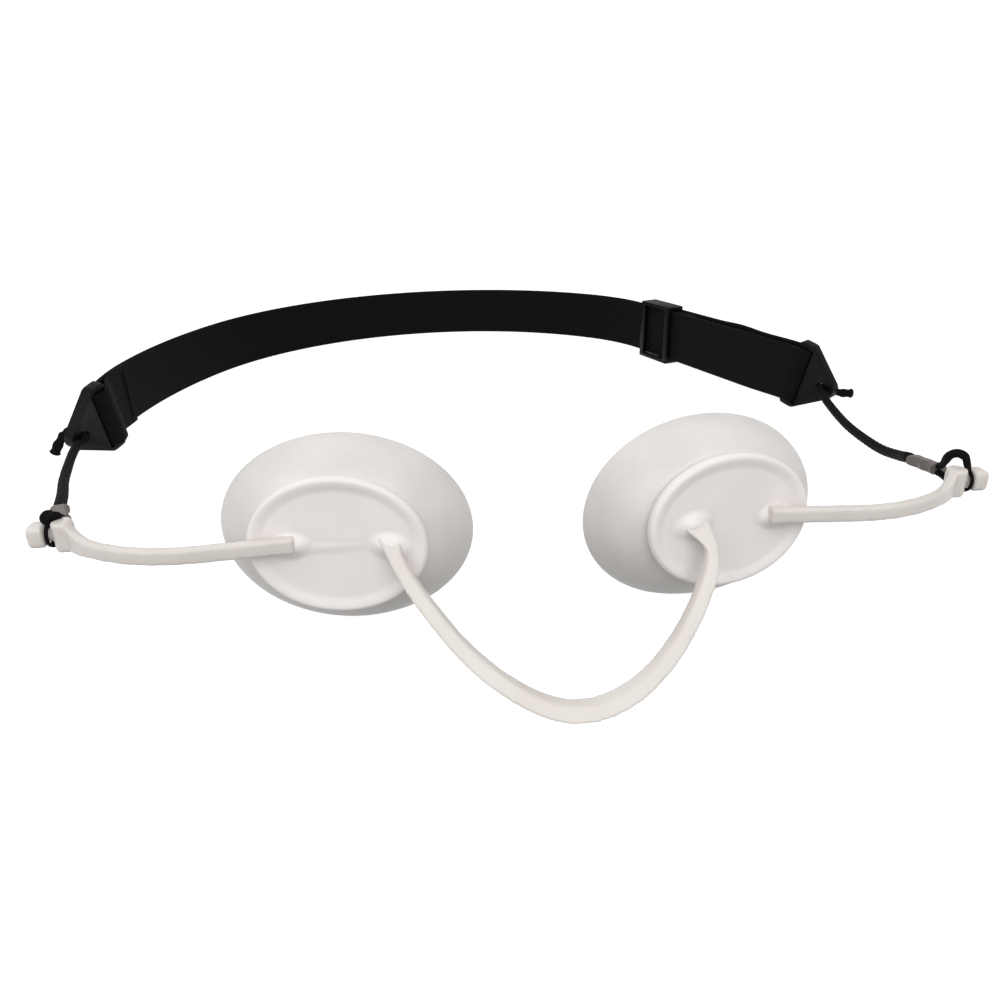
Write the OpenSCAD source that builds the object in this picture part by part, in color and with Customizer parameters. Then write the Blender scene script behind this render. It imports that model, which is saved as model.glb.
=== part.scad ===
// Disposable laser eye shield: two cups on a moulded frame, held on by a cord-ended elastic strap.
// Millimetres. The shield stands on a table as worn: X to the wearer's left, Y towards the back of
// the head, Z up. Each piece is drawn from the nose midline at the height of the table.

/* [Eye cups] */
// Width of a soft cup over its rim
cup_w = 45; // [43:0.2:47]
// Height of a soft cup over its rim
cup_h = 35; // [33:0.2:37]
// Depth of a soft cup from its rim to the back of the front plate
cup_depth = 12.6; // [11:0.2:15]
// Roundness of the cup's side: 0 is a straight cone and 1 a full quarter round
cup_bulge = 0.45; // [0.2:0.05:0.9]
// Wall of a soft cup
cup_wall = 1.6; // [1.2:0.1:2]
// Width of the flat land that rests on the face
rim_land = 2.4; // [1.6:0.1:3]
// Rounding of the rim's outer and inner edge
rim_round = 0.9; // [0.6:0.1:1.2]
// Distance between the two cup centres
eye_pitch = 64.4; // [60:0.2:68]
// Outward turn of the left cup in degrees
left_toe_out = 7.5; // [5:0.5:10]
// Outward turn of the right cup in degrees, which the soft frame lets turn further
right_toe_out = 10.5; // [8:0.5:12]
// Backward lean of the frame in degrees
lean_back = 4; // [2:0.5:6]

/* [Front plates] */
// Width of a front plate
plate_w = 29.4; // [28:0.2:31]
// Height of a front plate
plate_h = 23.4; // [22.6:0.2:25]
// Thickness of a front plate at its raised lip
plate_t = 2.4; // [2:0.1:3]
// Width of the raised lip
lip_w = 1.8; // [1.4:0.1:2.4]
// Drop from the lip to the flat panel
panel_drop = 0.5; // [0.4:0.1:0.8]
// Shift of a plate from its cup's centre towards the nose
plate_nasal = 1.6; // [1:0.1:2.6]
// Shift of a plate above its cup's centre
plate_up = 2.4; // [2:0.1:3]
// How far a plate's edge stands out past the front of its cup
plate_overhang = 0.7; // [0.4:0.1:1]
// Thickness of the metal insert behind each plate
insert_t = 0.4; // [0.3:0.05:0.6]
// Width of the frame left round the insert's pocket
pocket_border = 2.6; // [2:0.1:3.4]

/* [Nose bridge] */
// Half distance between the two bridge roots
bridge_half = 24.5; // [23.5:0.1:25.5]
// Height at which the bridge's upper face meets the plates
bridge_top = 22.9; // [22:0.1:23.6]
// Reach of the bridge in front of the cup rims
bridge_reach = 37; // [35:0.2:38]
// Thickness of the bridge strip
bridge_t = 1.6; // [1.4:0.1:2.2]
// Width of the strip seen from the front
bridge_w = 2.0; // [1.8:0.1:2.8]
// Width of the flared roots seen from the front
bridge_root_w = 4.7; // [4:0.1:5.2]

/* [Side arms] */
// Height of an arm strip
arm_h = 2.4; // [2:0.1:3]
// Thickness of an arm strip
arm_t = 1.7; // [1.4:0.1:2.1]
// Distance of an arm's root from the midline
arm_root_x = 39.2; // [38.6:0.1:39.8]
// Height of an arm's root above the table
arm_root_z = 21.6; // [20.6:0.1:22.4]
// Distance from the midline at which an arm starts to curl back
arm_curl_x = 54; // [50:0.5:56]
// Radius of the curl
arm_curl_r = 32.8; // [32:0.2:34]
// Angle of the curl
arm_curl_a = 46; // [45:0.5:47]
// Height of the end post
post_h = 5.0; // [4.4:0.1:5.6]
// Width of the end post along the arm
post_w = 3.3; // [3.1:0.1:3.8]
// Depth of the end post
post_d = 3.6; // [3.2:0.1:4.2]
// Diameter of the neck that carries the cord loop
neck_d = 2.2; // [1.8:0.1:2.6]
// Length of the neck
neck_len = 1.5; // [1.4:0.1:2]
// Length of the end knob
knob_len = 2.5; // [2.2:0.1:3.2]
// Height and depth of the end knob
knob_w = 3.7; // [3.2:0.1:4.2]
// Height of the neck above the table
neck_z = 20.9; // [20:0.1:21.8]

/* [Cords] */
// Diameter of the elastic cord
cord_d = 2.2; // [2:0.1:2.4]
// Diameter of the stretched strand in the end loop
strand_d = 1.3; // [1.1:0.1:1.3]
// Distance from the neck to the mouth of the crimp sleeve
loop_reach = 8.2; // [8:0.1:10]
// Downward slope of the loops in degrees
loop_slope = 9; // [6:0.5:11]
// Outward turn of the left sleeve in degrees
left_loop_turn = 24; // [0:1:24]
// Outward turn of the right sleeve in degrees
right_loop_turn = 2; // [0:1:15]
// Length of the crimp sleeve
sleeve_len = 8.6; // [7:0.2:10]
// Wall of the crimp sleeve
sleeve_wall = 0.4; // [0.3:0.05:0.6]
// Diameter of the knot behind each clip
knot_d = 4.4; // [4.2:0.1:5]

/* [Strap] */
// Width of the elastic strap
strap_w = 18; // [16:0.5:20]
// Thickness of the elastic strap
strap_t = 1.2; // [1:0.1:1.4]
// Straight run from the right clip past the slider
strap_straight = 80; // [78:0.5:84]
// Length of the sewn fold at the left clip
fold_len = 22; // [18:0.5:26]
// Gap between two sewn layers
sewn_gap = 0.1; // [0.05:0.01:0.2]

/* [Clips] */
// Length of a clip from its bar to its rounded apex
clip_len = 14; // [13:0.2:16]
// Thickness of a clip
clip_t = 3; // [2.6:0.1:3.4]
// Radius of the bar that the strap folds round
clip_bar_r = 1.6; // [1.4:0.05:1.8]
// Wall beside the strap slot
clip_wall = 1.4; // [1.2:0.1:1.8]
// Diameter of the cord hole
hole_d = 3.2; // [3:0.1:3.4]
// Distance from the bar to the cord hole
hole_reach = 9.8; // [9.4:0.1:11]
// In-plane tilt of the left clip in degrees
left_tilt = 21; // [10:1:22]
// In-plane tilt of the right clip in degrees
right_tilt = 16; // [4:1:18]
// Outward swing of the left clip in degrees
left_swing = 32; // [0:1:34]
// Outward swing of the right clip in degrees
right_swing = 13; // [0:1:20]

/* [Slider] */
// Length of the slider along the strap
slider_len = 17; // [16:0.5:20]
// Width of each end bar
end_bar_w = 2.2; // [2:0.1:2.6]
// Thickness of each end bar
end_bar_t = 1.5; // [1.3:0.1:1.8]
// Radius of the centre bar
centre_bar_r = 1.0; // [0.9:0.05:1.2]
// Distance from the right clip's bar to the slider's centre
slider_at = 69.5; // [67:0.5:71]
// Length of the strap end sewn round the centre bar
sewn_end_len = 20; // [16:0.5:22]

/* [Hidden] */
$fn = 48;

ivory = "#ece8e2";
plate_white = "#dedad8";
soft_white = "#dde0dc";
steel = "#b9bcc0";
crimp_grey = "#78706c";
webbing_black = "#1a1718";
clip_black = "#262224";

// Left is -1 and right is +1 in every module that takes a side.
left = -1;
right = 1;

// Clearance between pieces that turn or slide on each other
turn_gap = 0.2;
slide_gap = 0.2;
fold_gap = 0.25;
slot_gap = 0.3;
seat_gap = 0.05;

// Cups and plates: everything on the eye frame leans back about the cup centres' line.
cup_z = cup_h / 2 * cos(lean_back);
cup_floor = 1.4;
rim_in_shift = 0.9;
around = 48;
panel_n = cup_depth + plate_t - panel_drop;
lip_n = cup_depth + plate_t;
pocket_depth = insert_t + 2 * seat_gap;
cup_front_w = plate_w - 2 * plate_overhang;
cup_front_h = plate_h - 2 * plate_overhang;

// Arms
neck_y = -3.4;
arm_y = neck_y - 1 - arm_curl_r * (1 - cos(arm_curl_a));
arm_end_z = neck_z - 1.1;
post_x = arm_curl_x + arm_curl_r * sin(arm_curl_a) + post_w / 4;
post_y = neck_y - 0.6;
front_face_y = 15.1;
neck_start = post_x + post_w / 2 - 0.4;
neck_end = neck_start + 0.4 + neck_len;
knob_round = 0.9;
foot_len = 2.6;
past_plate_x = 46;

// Strap route: a straight run from the right clip, then three arcs that turn left.
route_x = 96.2;
route_y = 103.7;
route_heading = 109.9;
arc_r = [55, 94.9, 160];
arc_a = [30, 104.3, 28];
arc_len = [for (i = [0:2]) arc_r[i] * arc_a[i] * PI / 180];
route_len = strap_straight + arc_len[0] + arc_len[1] + arc_len[2];
end_heading = route_heading + arc_a[0] + arc_a[1] + arc_a[2];
clip_h = strap_w + 2 * slot_gap + 2 * clip_wall;
strap_z = clip_h / 2 + 0.35;
tilt_len = 26;
clip_corner_r = 2.6;
clip_heel_r = 1;
clip_apex_r = 3.4;
slot_len = strap_t + 2 * fold_gap + 0.3;
bar_offset = clip_bar_r + fold_gap + strap_t / 2;
tack_len = 1.6;
tack_inset = 2;
tack_t = 0.3;

// Slider, seen along the strap: the band runs at offset zero and outward is positive.
inner_flap_v = strap_t + slide_gap;
centre_bar_v = inner_flap_v + strap_t / 2 + seat_gap + centre_bar_r;
outer_flap_v = 2 * centre_bar_v - inner_flap_v;
end_bar_v = -strap_t / 2 - slide_gap - end_bar_t;
rail_t = 1.2;

// The origin is the middle of the part's footprint.
origin_x = -4.3;
origin_y = 94.6;

// Plan position and heading on the strap's route at a length s from the right clip
function arc_end(p, h, r, a) =
    [p[0] + r * (sin(h + a) - sin(h)), p[1] + r * (cos(h) - cos(h + a))];
p0 = [route_x, route_y];
p1 = p0 + strap_straight * [cos(route_heading), sin(route_heading)];
h1 = route_heading;
p2 = arc_end(p1, h1, arc_r[0], arc_a[0]);
h2 = h1 + arc_a[0];
p3 = arc_end(p2, h2, arc_r[1], arc_a[1]);
h3 = h2 + arc_a[1];
s2 = strap_straight + arc_len[0];
s3 = s2 + arc_len[1];
function on_arc(p, h, r, s) = arc_end(p, h, r, s / r * 180 / PI);
function heading_at(s) =
    s <= strap_straight ? route_heading :
    s <= s2 ? h1 + (s - strap_straight) / arc_r[0] * 180 / PI :
    s <= s3 ? h2 + (s - s2) / arc_r[1] * 180 / PI :
    h3 + (s - s3) / arc_r[2] * 180 / PI;
function place_at(s) =
    s <= strap_straight ? p0 + s * [cos(route_heading), sin(route_heading)] :
    s <= s2 ? on_arc(p1, h1, arc_r[0], s - strap_straight) :
    s <= s3 ? on_arc(p2, h2, arc_r[1], s - s2) :
    on_arc(p3, h3, arc_r[2], s - s3);
function inward_at(s) = [-sin(heading_at(s)), cos(heading_at(s)), 0];
function along_at(s) = [cos(heading_at(s)), sin(heading_at(s)), 0];
function ease(x) = let (c = min(1, max(0, x))) c * c * (3 - 2 * c);
// The strap's section tips over near each clip, its top towards the clip.
function tilt_at(s) = left_tilt * ease((s - route_len + tilt_len) / tilt_len)
    - right_tilt * ease((tilt_len - s) / tilt_len);
function up_at(s) = [0, 0, cos(tilt_at(s))] + sin(tilt_at(s)) * along_at(s);
function centre_at(s, inward) = let (p = place_at(s)) [p[0], p[1], strap_z] + inward * inward_at(s);
function station(s, inward) = [centre_at(s, inward), up_at(s), inward_at(s)];

// Bars of the two clips
right_bar = centre_at(0, -bar_offset);
left_bar = centre_at(route_len, bar_offset);
left_heading = end_heading;
right_heading = route_heading + 180;

function unit(v) = v / norm(v);

// Shapes shared by several pieces

module on_table() {
    translate([-origin_x, -origin_y, 0]) children();
}

module leaning() {
    on_table() translate([0, 0, cup_z]) rotate([-lean_back, 0, 0]) children();
}

function toe_out(side) = side < 0 ? left_toe_out : right_toe_out;
// The right cup's turn brings its rim in towards the nose.
function eye_x(side) = side * eye_pitch / 2 - (side > 0 ? rim_in_shift : 0);

// A cup's own axes: Z forward out of the face, Y up, X to the right
module at_eye(side) {
    leaning() translate([eye_x(side), 0, 0]) rotate([0, 0, side * toe_out(side)])
        rotate([90, 0, 0]) children();
}

// A solid through oval rings, each [half width, half height, depth, nasal shift, rise]
module loft(rings, side) {
    count = len(rings);
    points = [for (r = rings) for (i = [0:around - 1])
        [r[0] * cos(i * 360 / around) - side * r[3], r[1] * sin(i * 360 / around) + r[4], r[2]]];
    walls = [for (k = [0:count - 2]) for (i = [0:around - 1])
        [k * around + i, k * around + (i + 1) % around,
         (k + 1) * around + (i + 1) % around, (k + 1) * around + i]];
    first = [for (i = [0:around - 1]) around - 1 - i];
    last = [for (i = [0:around - 1]) (count - 1) * around + i];
    polyhedron(points, concat(walls, [first, last]), convexity = 6);
}

module oval(w, h) {
    polygon([for (i = [0:around - 1]) [w / 2 * cos(i * 360 / around), h / 2 * sin(i * 360 / around)]]);
}

// A flat band of constant section through stations [centre, up, inward]
module band(stations, w, t) {
    count = len(stations);
    points = [for (s = stations) for (c = [[-1, -1], [1, -1], [1, 1], [-1, 1]])
        s[0] + c[0] * w / 2 * s[1] + c[1] * t / 2 * s[2]];
    walls = [for (k = [0:count - 2]) for (i = [0:3])
        [k * 4 + i, k * 4 + (i + 1) % 4, (k + 1) * 4 + (i + 1) % 4, (k + 1) * 4 + i]];
    last = (count - 1) * 4;
    polyhedron(points, concat(walls, [[3, 2, 1, 0], [last, last + 1, last + 2, last + 3]]),
               convexity = 6);
}

function tangent(p, i) =
    i == 0 ? unit(p[1] - p[0]) :
    i == len(p) - 1 ? unit(p[i] - p[i - 1]) :
    unit(unit(p[i + 1] - p[i]) + unit(p[i] - p[i - 1]));
function carried(n, t) = unit(n - (n * t) * t);
function normals(p, n, i = 0) =
    let (c = carried(n, tangent(p, i)))
    i == len(p) - 1 ? [c] : concat([c], normals(p, c, i + 1));

// A round tube through a list of points; the start normal sets where its facets lie
module tube(p, d, start, sides = 8) {
    n = normals(p, start);
    points = [for (k = [0:len(p) - 1]) for (i = [0:sides - 1])
        let (b = cross(tangent(p, k), n[k]), a = (i + 0.5) * 360 / sides)
        p[k] + d / 2 * (cos(a) * n[k] + sin(a) * b)];
    walls = [for (k = [0:len(p) - 2]) for (i = [0:sides - 1])
        [k * sides + i, (k + 1) * sides + i,
         (k + 1) * sides + (i + 1) % sides, k * sides + (i + 1) % sides]];
    first = [for (i = [0:sides - 1]) i];
    last = [for (i = [0:sides - 1]) (len(p) - 1) * sides + sides - 1 - i];
    polyhedron(points, concat(walls, [first, last]), convexity = 8);
}

// Points along a smooth curve through a hand-chosen list
function curve_point(p, i, f) =
    let (a = p[max(0, i - 1)], b = p[i], c = p[i + 1], d = p[min(len(p) - 1, i + 2)])
    0.5 * (2 * b + (c - a) * f + (2 * a - 5 * b + 4 * c - d) * f * f
           + (3 * b - a - 3 * c + d) * f * f * f);
function smooth(p, steps) = concat(
    [for (i = [0:len(p) - 2]) for (k = [0:steps - 1]) curve_point(p, i, k / steps)],
    [p[len(p) - 1]]);

// Eye cups and plates

// Ring of a cup's outer or inner wall; a is 0 at the front and 90 at the rim
function cup_ring(a, front_w, front_h, rim_w, rim_h, front_n, rim_n) =
    let (f = cup_bulge * sin(a) + (1 - cup_bulge) * a / 90,
         g = cup_bulge * cos(a) + (1 - cup_bulge) * (1 - a / 90))
    [front_w + (rim_w - front_w) * f, front_h + (rim_h - front_h) * f,
     rim_n + (front_n - rim_n) * g, plate_nasal * g, plate_up * g];

module eye_cup(side) {
    rim_in = rim_round + rim_land;
    outer = [for (a = [0:10:90]) cup_ring(a, cup_front_w / 2, cup_front_h / 2,
        cup_w / 2, cup_h / 2, cup_depth, rim_round)];
    edge = [for (a = [30, 60, 90])
        [cup_w / 2 - rim_round * (1 - cos(a)), cup_h / 2 - rim_round * (1 - cos(a)),
         rim_round * (1 - sin(a)), 0, 0]];
    lip = [for (a = [0, 30, 60])
        [cup_w / 2 - rim_in - rim_round * sin(a), cup_h / 2 - rim_in - rim_round * sin(a),
         rim_round * (1 - cos(a)), 0, 0]];
    inner = [for (a = [90:-15:0]) cup_ring(a, cup_front_w / 2 - cup_wall,
        cup_front_h / 2 - cup_wall, cup_w / 2 - rim_in - rim_round,
        cup_h / 2 - rim_in - rim_round, cup_depth - cup_floor, rim_round)];
    color(soft_white) at_eye(side) loft(concat(outer, edge, lip, inner), side);
}

module left_eye_cup() { eye_cup(left); }
module right_eye_cup() { eye_cup(right); }

function plate_ring(inset, n) = [plate_w / 2 - inset, plate_h / 2 - inset, n, plate_nasal, plate_up];

module front_plate(side) {
    round_r = lip_w / 2;
    crown = [for (a = [0:30:180])
        plate_ring(round_r * (1 - cos(a)), lip_n - round_r * (1 - sin(a)))];
    color(plate_white) at_eye(side) loft(concat(
        [plate_ring(pocket_border, cup_depth + pocket_depth), plate_ring(pocket_border, cup_depth),
         plate_ring(round_r / 2, cup_depth), plate_ring(0, cup_depth + round_r / 2)],
        crown,
        [plate_ring(lip_w + 0.4, panel_n)]), side);
}

module left_front_plate() { front_plate(left); }
module right_front_plate() { front_plate(right); }

module blocking_insert(side) {
    gap = pocket_border + seat_gap;
    color(steel) at_eye(side)
        translate([-side * plate_nasal, plate_up, cup_depth + seat_gap])
            linear_extrude(insert_t) oval(plate_w - 2 * gap, plate_h - 2 * gap);
}

module left_blocking_insert() { blocking_insert(left); }
module right_blocking_insert() { blocking_insert(right); }

// Half-space in front of a plate's flat panel, which a root stands on
module before_panel(side) {
    at_eye(side) translate([-60, -60, panel_n]) cube([120, 120, 60]);
}

// Nose bridge: the front outline and the side outline, each extruded, meet in one strip

// The strip is bent by hand and hangs a little to one side: chosen points along its middle,
// across in half widths and up in heights, from the right root round to the left one.
bridge_bend = [[1.03, 1], [1.14, 0.8], [1.055, 0.6], [0.82, 0.33], [0.51, 0.12], [0.16, 0.04],
               [-0.17, 0.12], [-0.5, 0.33], [-0.77, 0.61], [-0.94, 0.85], [-0.97, 1]];
bridge_line = [for (p = smooth(bridge_bend, 4)) [p[0] * bridge_half, p[1] * bridge_top]];
bridge_count = len(bridge_line);
bridge_slope = atan2(bridge_top, bridge_reach - front_face_y);

// The strip is narrowest at the bottom and flares over the last tenth at each root.
function bridge_width(i) =
    let (f = abs(2 * i / (bridge_count - 1) - 1))
    bridge_w - 0.2 + 0.2 * ease(f * 2) + (bridge_root_w - bridge_w) * ease((f - 0.8) / 0.2);
function bridge_edge(i, side) =
    let (d = tangent(bridge_line, i)) bridge_line[i] + side * bridge_width(i) / 2 * [-d[1], d[0]];

module bridge_front() {
    rise = [0, 6];
    half = [bridge_root_w / 2, 0];
    right_root = bridge_line[0] + rise;
    left_root = bridge_line[bridge_count - 1] + rise;
    polygon(concat([right_root + half], [for (i = [0:bridge_count - 1]) bridge_edge(i, 1)],
                   [left_root - half, left_root + half],
                   [for (i = [bridge_count - 1:-1:0]) bridge_edge(i, -1)], [right_root - half]));
}

module bridge_side() {
    run = 60;
    translate([-bridge_reach, 0]) rotate(bridge_slope)
        translate([-10, -bridge_t]) square([run, bridge_t]);
}

module nose_bridge() {
    color(ivory) intersection() {
        on_table() rotate([90, 0, 0]) translate([0, 0, -10]) linear_extrude(60) bridge_front();
        on_table() translate([-40, 0, 0]) rotate([90, 0, 90]) linear_extrude(80) bridge_side();
        union() {
            intersection() {
                before_panel(left);
                on_table() translate([-60, -60, 0]) cube([60, 80, 60]);
            }
            intersection() {
                before_panel(right);
                on_table() translate([0, -60, 0]) cube([60, 80, 60]);
            }
        }
    }
}

// Side arms: the plan outline and the side outline, each extruded, meet in one curled strip

function arm_point(f) =
    let (a = arm_curl_a * f) [arm_curl_x + arm_curl_r * sin(a), arm_y + arm_curl_r * (1 - cos(a))];
function arm_edge(f, side) =
    let (a = arm_curl_a * f) arm_point(f) + side * arm_t / 2 * [-sin(a), cos(a)];
arm_steps = 10;

module arm_plan() {
    polygon(concat(
        [[arm_root_x, arm_y - arm_t / 2]],
        [for (k = [0:arm_steps]) arm_edge(k / arm_steps, -1)],
        [for (k = [arm_steps:-1:0]) arm_edge(k / arm_steps, 1)],
        [[arm_root_x, arm_y + arm_t / 2]]));
    translate([arm_root_x, arm_y]) square([foot_len, 6]);
    translate([post_x, post_y]) oval(post_w, post_d);
}

// Height of the arm strip's middle at a distance from the midline
function arm_z(x) = arm_root_z + (arm_end_z - arm_root_z) * (x - arm_root_x) / (post_x - arm_root_x);

module arm_side() {
    flare_from = post_x - post_w / 2 - 5;
    flare_to = post_x - post_w / 2 + 0.8;
    post_top = neck_z + post_h / 2;
    post_low = neck_z - post_h / 2;
    half = arm_h / 2;
    flare = flare_to - flare_from;
    polygon(concat(
        [[arm_root_x, arm_z(arm_root_x) - half]],
        [for (k = [0:5]) let (x = flare_from + flare * k / 5)
            [x, (arm_z(x) - half) * (1 - ease(k / 5)) + post_low * ease(k / 5)]],
        [[90, post_low], [90, post_top]],
        [for (k = [7:-1:0]) let (x = flare_from + flare * k / 7)
            [x, arm_z(x) + half + (post_top - arm_z(x) - half) * pow(k / 7, 2.4)]],
        [[arm_root_x, arm_z(arm_root_x) + half]]));
}

module knob_outline() {
    side = knob_w - 2 * knob_round;
    square([side, knob_w], center = true);
    square([knob_w, side], center = true);
    for (x = [-1, 1], y = [-1, 1]) translate([x * side / 2, y * side / 2]) circle(knob_round, $fn = 24);
}

module side_arm(side) {
    color(ivory) union() {
        intersection() {
            on_table() mirror([side < 0 ? 1 : 0, 0, 0]) linear_extrude(40) arm_plan();
            on_table() mirror([side < 0 ? 1 : 0, 0, 0]) translate([0, 20, 0]) rotate([90, 0, 0])
                linear_extrude(60) arm_side();
            union() {
                before_panel(side);
                on_table() mirror([side < 0 ? 1 : 0, 0, 0]) translate([past_plate_x, -60, 0])
                    cube([60, 120, 60]);
            }
        }
        on_table() mirror([side < 0 ? 1 : 0, 0, 0]) {
            translate([post_x, neck_y, neck_z]) rotate([0, 90, 0])
                cylinder(d = neck_d, h = neck_end - post_x + knob_len / 2);
            translate([neck_end, neck_y, neck_z]) rotate([0, 90, 0]) linear_extrude(knob_len)
                knob_outline();
        }
    }
}

module left_side_arm() { side_arm(left); }
module right_side_arm() { side_arm(right); }

// Cord ends

// Axes of a loop: origin on the neck, X back towards the sleeve, Y up, Z to the wearer's left
module at_neck(side) {
    on_table() translate([side * (neck_end - neck_len / 2), neck_y, neck_z])
        rotate([0, 0, 90]) rotate([90, 0, 0]) rotate([0, 0, -loop_slope]) children();
}

// Axes of a sleeve: origin in the middle of its mouth, X along it, Y up
module at_sleeve(side) {
    at_neck(side) translate([loop_reach, 0, side * sleeve_out(side)])
        rotate([0, -side * sleeve_turn(side), 0]) children();
}

function sleeve_turn(side) = side < 0 ? left_loop_turn : right_loop_turn;
// Sideways shift of a strand at a distance u behind the neck, growing to the sleeve's turn
function strand_out(side, u) = u <= 0 ? 0 : tan(sleeve_turn(side)) * u * u / (2 * loop_reach);
function sleeve_out(side) = strand_out(side, loop_reach);

loop_r = neck_d / 2 + 0.15 + strand_d / 2;
strand_pitch = strand_d / 2 + 0.02;
loop_turn = atan2(strand_pitch, loop_reach) + acos(loop_r / norm([loop_reach, strand_pitch]));

module cord_loop(side) {
    arc = [for (k = [0:14]) let (a = loop_turn + (360 - 2 * loop_turn) * k / 14)
        [loop_r * cos(a), loop_r * sin(a)]];
    leg = [loop_reach * 0.6, strand_pitch + (arc[0][1] - strand_pitch) * 0.4];
    run = [loop_reach * 0.9, strand_pitch];
    flat = concat([[loop_reach, strand_pitch], run, leg], arc,
                  [[leg[0], -leg[1]], [run[0], -run[1]], [loop_reach, -strand_pitch]]);
    points = [for (p = flat) [p[0], p[1], side * strand_out(side, p[0])]];
    color(webbing_black) at_neck(side) tube(points, strand_d, [0, 1, 0]);
}

module left_cord_loop() { cord_loop(left); }
module right_cord_loop() { cord_loop(right); }

module sleeve_outline(wall) {
    square([strand_d + 2 * wall, strand_d], center = true);
    for (y = [-1, 1]) translate([0, y * strand_d / 2]) circle(strand_d / 2 + wall, $fn = 32);
}

module crimp_sleeve(side) {
    dent_r = 4;
    dent_depth = 0.35;
    color(crimp_grey) difference() {
        at_sleeve(side) rotate([90, 0, 90]) linear_extrude(sleeve_len) rotate([0, 0, 0])
            sleeve_outline(sleeve_wall);
        for (x = [0.3, 0.7], z = [-1, 1])
            at_sleeve(side) translate([sleeve_len * x, -5, z * (strand_d / 2 + sleeve_wall + dent_r - dent_depth)])
                rotate([-90, 0, 0]) cylinder(r = dent_r, h = 10);
    }
}

module left_crimp_sleeve() { crimp_sleeve(left); }
module right_crimp_sleeve() { crimp_sleeve(right); }

// Clips

// Axes of a clip: origin on the bar, X towards the apex, Z along the bar, Y out of its face
module at_bar(side) {
    if (side > 0) on_table() translate(right_bar) rotate([0, 0, right_heading])
        rotate([0, right_tilt, 0]) children();
    if (side < 0) on_table() translate(left_bar) rotate([0, 0, left_heading])
        rotate([0, left_tilt, 0]) children();
}

module swung(side) {
    rotate([0, 0, side < 0 ? -left_swing : right_swing]) children();
}

module clip_outline() {
    corner_x = 2;
    corner_y = clip_h / 2 - clip_corner_r;
    apex_x = clip_len - clip_apex_r;
    slope = atan2(corner_y, apex_x - corner_x);
    reach = norm([corner_y, apex_x - corner_x]);
    turn = 90 - slope + asin((clip_corner_r - clip_apex_r) / reach);
    polygon([[corner_x, -corner_y], [corner_x, corner_y],
             [corner_x + clip_corner_r * cos(turn), corner_y + clip_corner_r * sin(turn)],
             [apex_x + clip_apex_r * cos(turn), clip_apex_r * sin(turn)],
             [apex_x + clip_apex_r * cos(turn), -clip_apex_r * sin(turn)],
             [corner_x + clip_corner_r * cos(turn), -corner_y - clip_corner_r * sin(turn)]]);
    heel_y = clip_h / 2 - clip_heel_r;
    translate([-clip_bar_r, -heel_y]) square([corner_x + clip_bar_r, 2 * heel_y]);
    translate([clip_heel_r - clip_bar_r, -clip_h / 2])
        square([corner_x + clip_bar_r - clip_heel_r, clip_h]);
    for (y = [-heel_y, heel_y]) translate([clip_heel_r - clip_bar_r, y]) circle(clip_heel_r);
    for (y = [-corner_y, corner_y]) translate([corner_x, y]) circle(clip_corner_r);
    translate([apex_x, 0]) circle(clip_apex_r);
}

module end_clip(side) {
    slot_h = strap_w + 2 * slot_gap;
    color(clip_black) at_bar(side) swung(side) union() {
        difference() {
            translate([0, clip_t / 2, 0]) rotate([90, 0, 0]) linear_extrude(clip_t) clip_outline();
            translate([-clip_bar_r - 1, -clip_t, -slot_h / 2])
                cube([clip_bar_r + 1 + clip_bar_r + slot_len, 2 * clip_t, slot_h]);
            translate([hole_reach, clip_t, 0]) rotate([90, 0, 0]) cylinder(d = hole_d, h = 2 * clip_t);
        }
        translate([0, 0, -clip_h / 2 + 0.6]) cylinder(r = clip_bar_r, h = clip_h - 1.2);
    }
}

module left_end_clip() { end_clip(left); }
module right_end_clip() { end_clip(right); }

// Free cords

// Points of a clip's own axes in the part's midline frame
function turned(p, a) = [p[0] * cos(a) - p[1] * sin(a), p[0] * sin(a) + p[1] * cos(a), p[2]];
function tipped(p, a) = [p[0] * cos(a) + p[2] * sin(a), p[1], p[2] * cos(a) - p[0] * sin(a)];
function clip_point(side, p) = side > 0
    ? right_bar + turned(tipped(turned(p, right_swing), right_tilt), right_heading)
    : left_bar + turned(tipped(turned(p, -left_swing), left_tilt), left_heading);
knot_face = clip_t / 2 + 0.2;
// A point a distance x behind a sleeve's mouth, on its axis
function sleeve_point(side, x) =
    let (u = loop_reach + x * cos(sleeve_turn(side)), out = sleeve_out(side) + x * sin(sleeve_turn(side)))
    [side * (neck_end - neck_len / 2 + out), neck_y + u * cos(loop_slope), neck_z - u * sin(loop_slope)];

// Chosen by hand: where each cord lies between the clip's hole and the sleeve
left_lie = [[-109.5, 76, 8], [-101.5, 50, 10.5], [-92.5, 28, 15]];
right_lie = [[99, 83, 7.5], [93.5, 61, 8.5], [89, 39, 11], [85.5, 25, 14.5]];

module free_cord(side) {
    inner = side < 0 ? 1 : -1;
    hole = [hole_reach, 0, 0];
    ends = [clip_point(side, hole - inner * [0, knot_face, 0]),
            clip_point(side, hole + inner * [0, clip_t / 2, 0]),
            clip_point(side, hole + [1.6, inner * (clip_t / 2 + 1.6), 0])];
    way = concat([ends[1], ends[2]], side < 0 ? left_lie : right_lie,
                 [sleeve_point(side, sleeve_len + 2.5), sleeve_point(side, sleeve_len + 0.5)]);
    last = sleeve_point(side, sleeve_len + 0.02);
    color(webbing_black) on_table() tube(concat([ends[0]], smooth(way, 3), [last]), cord_d, [0, 0, 1]);
}

module left_cord() { free_cord(left); }
module right_cord() { free_cord(right); }

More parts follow.
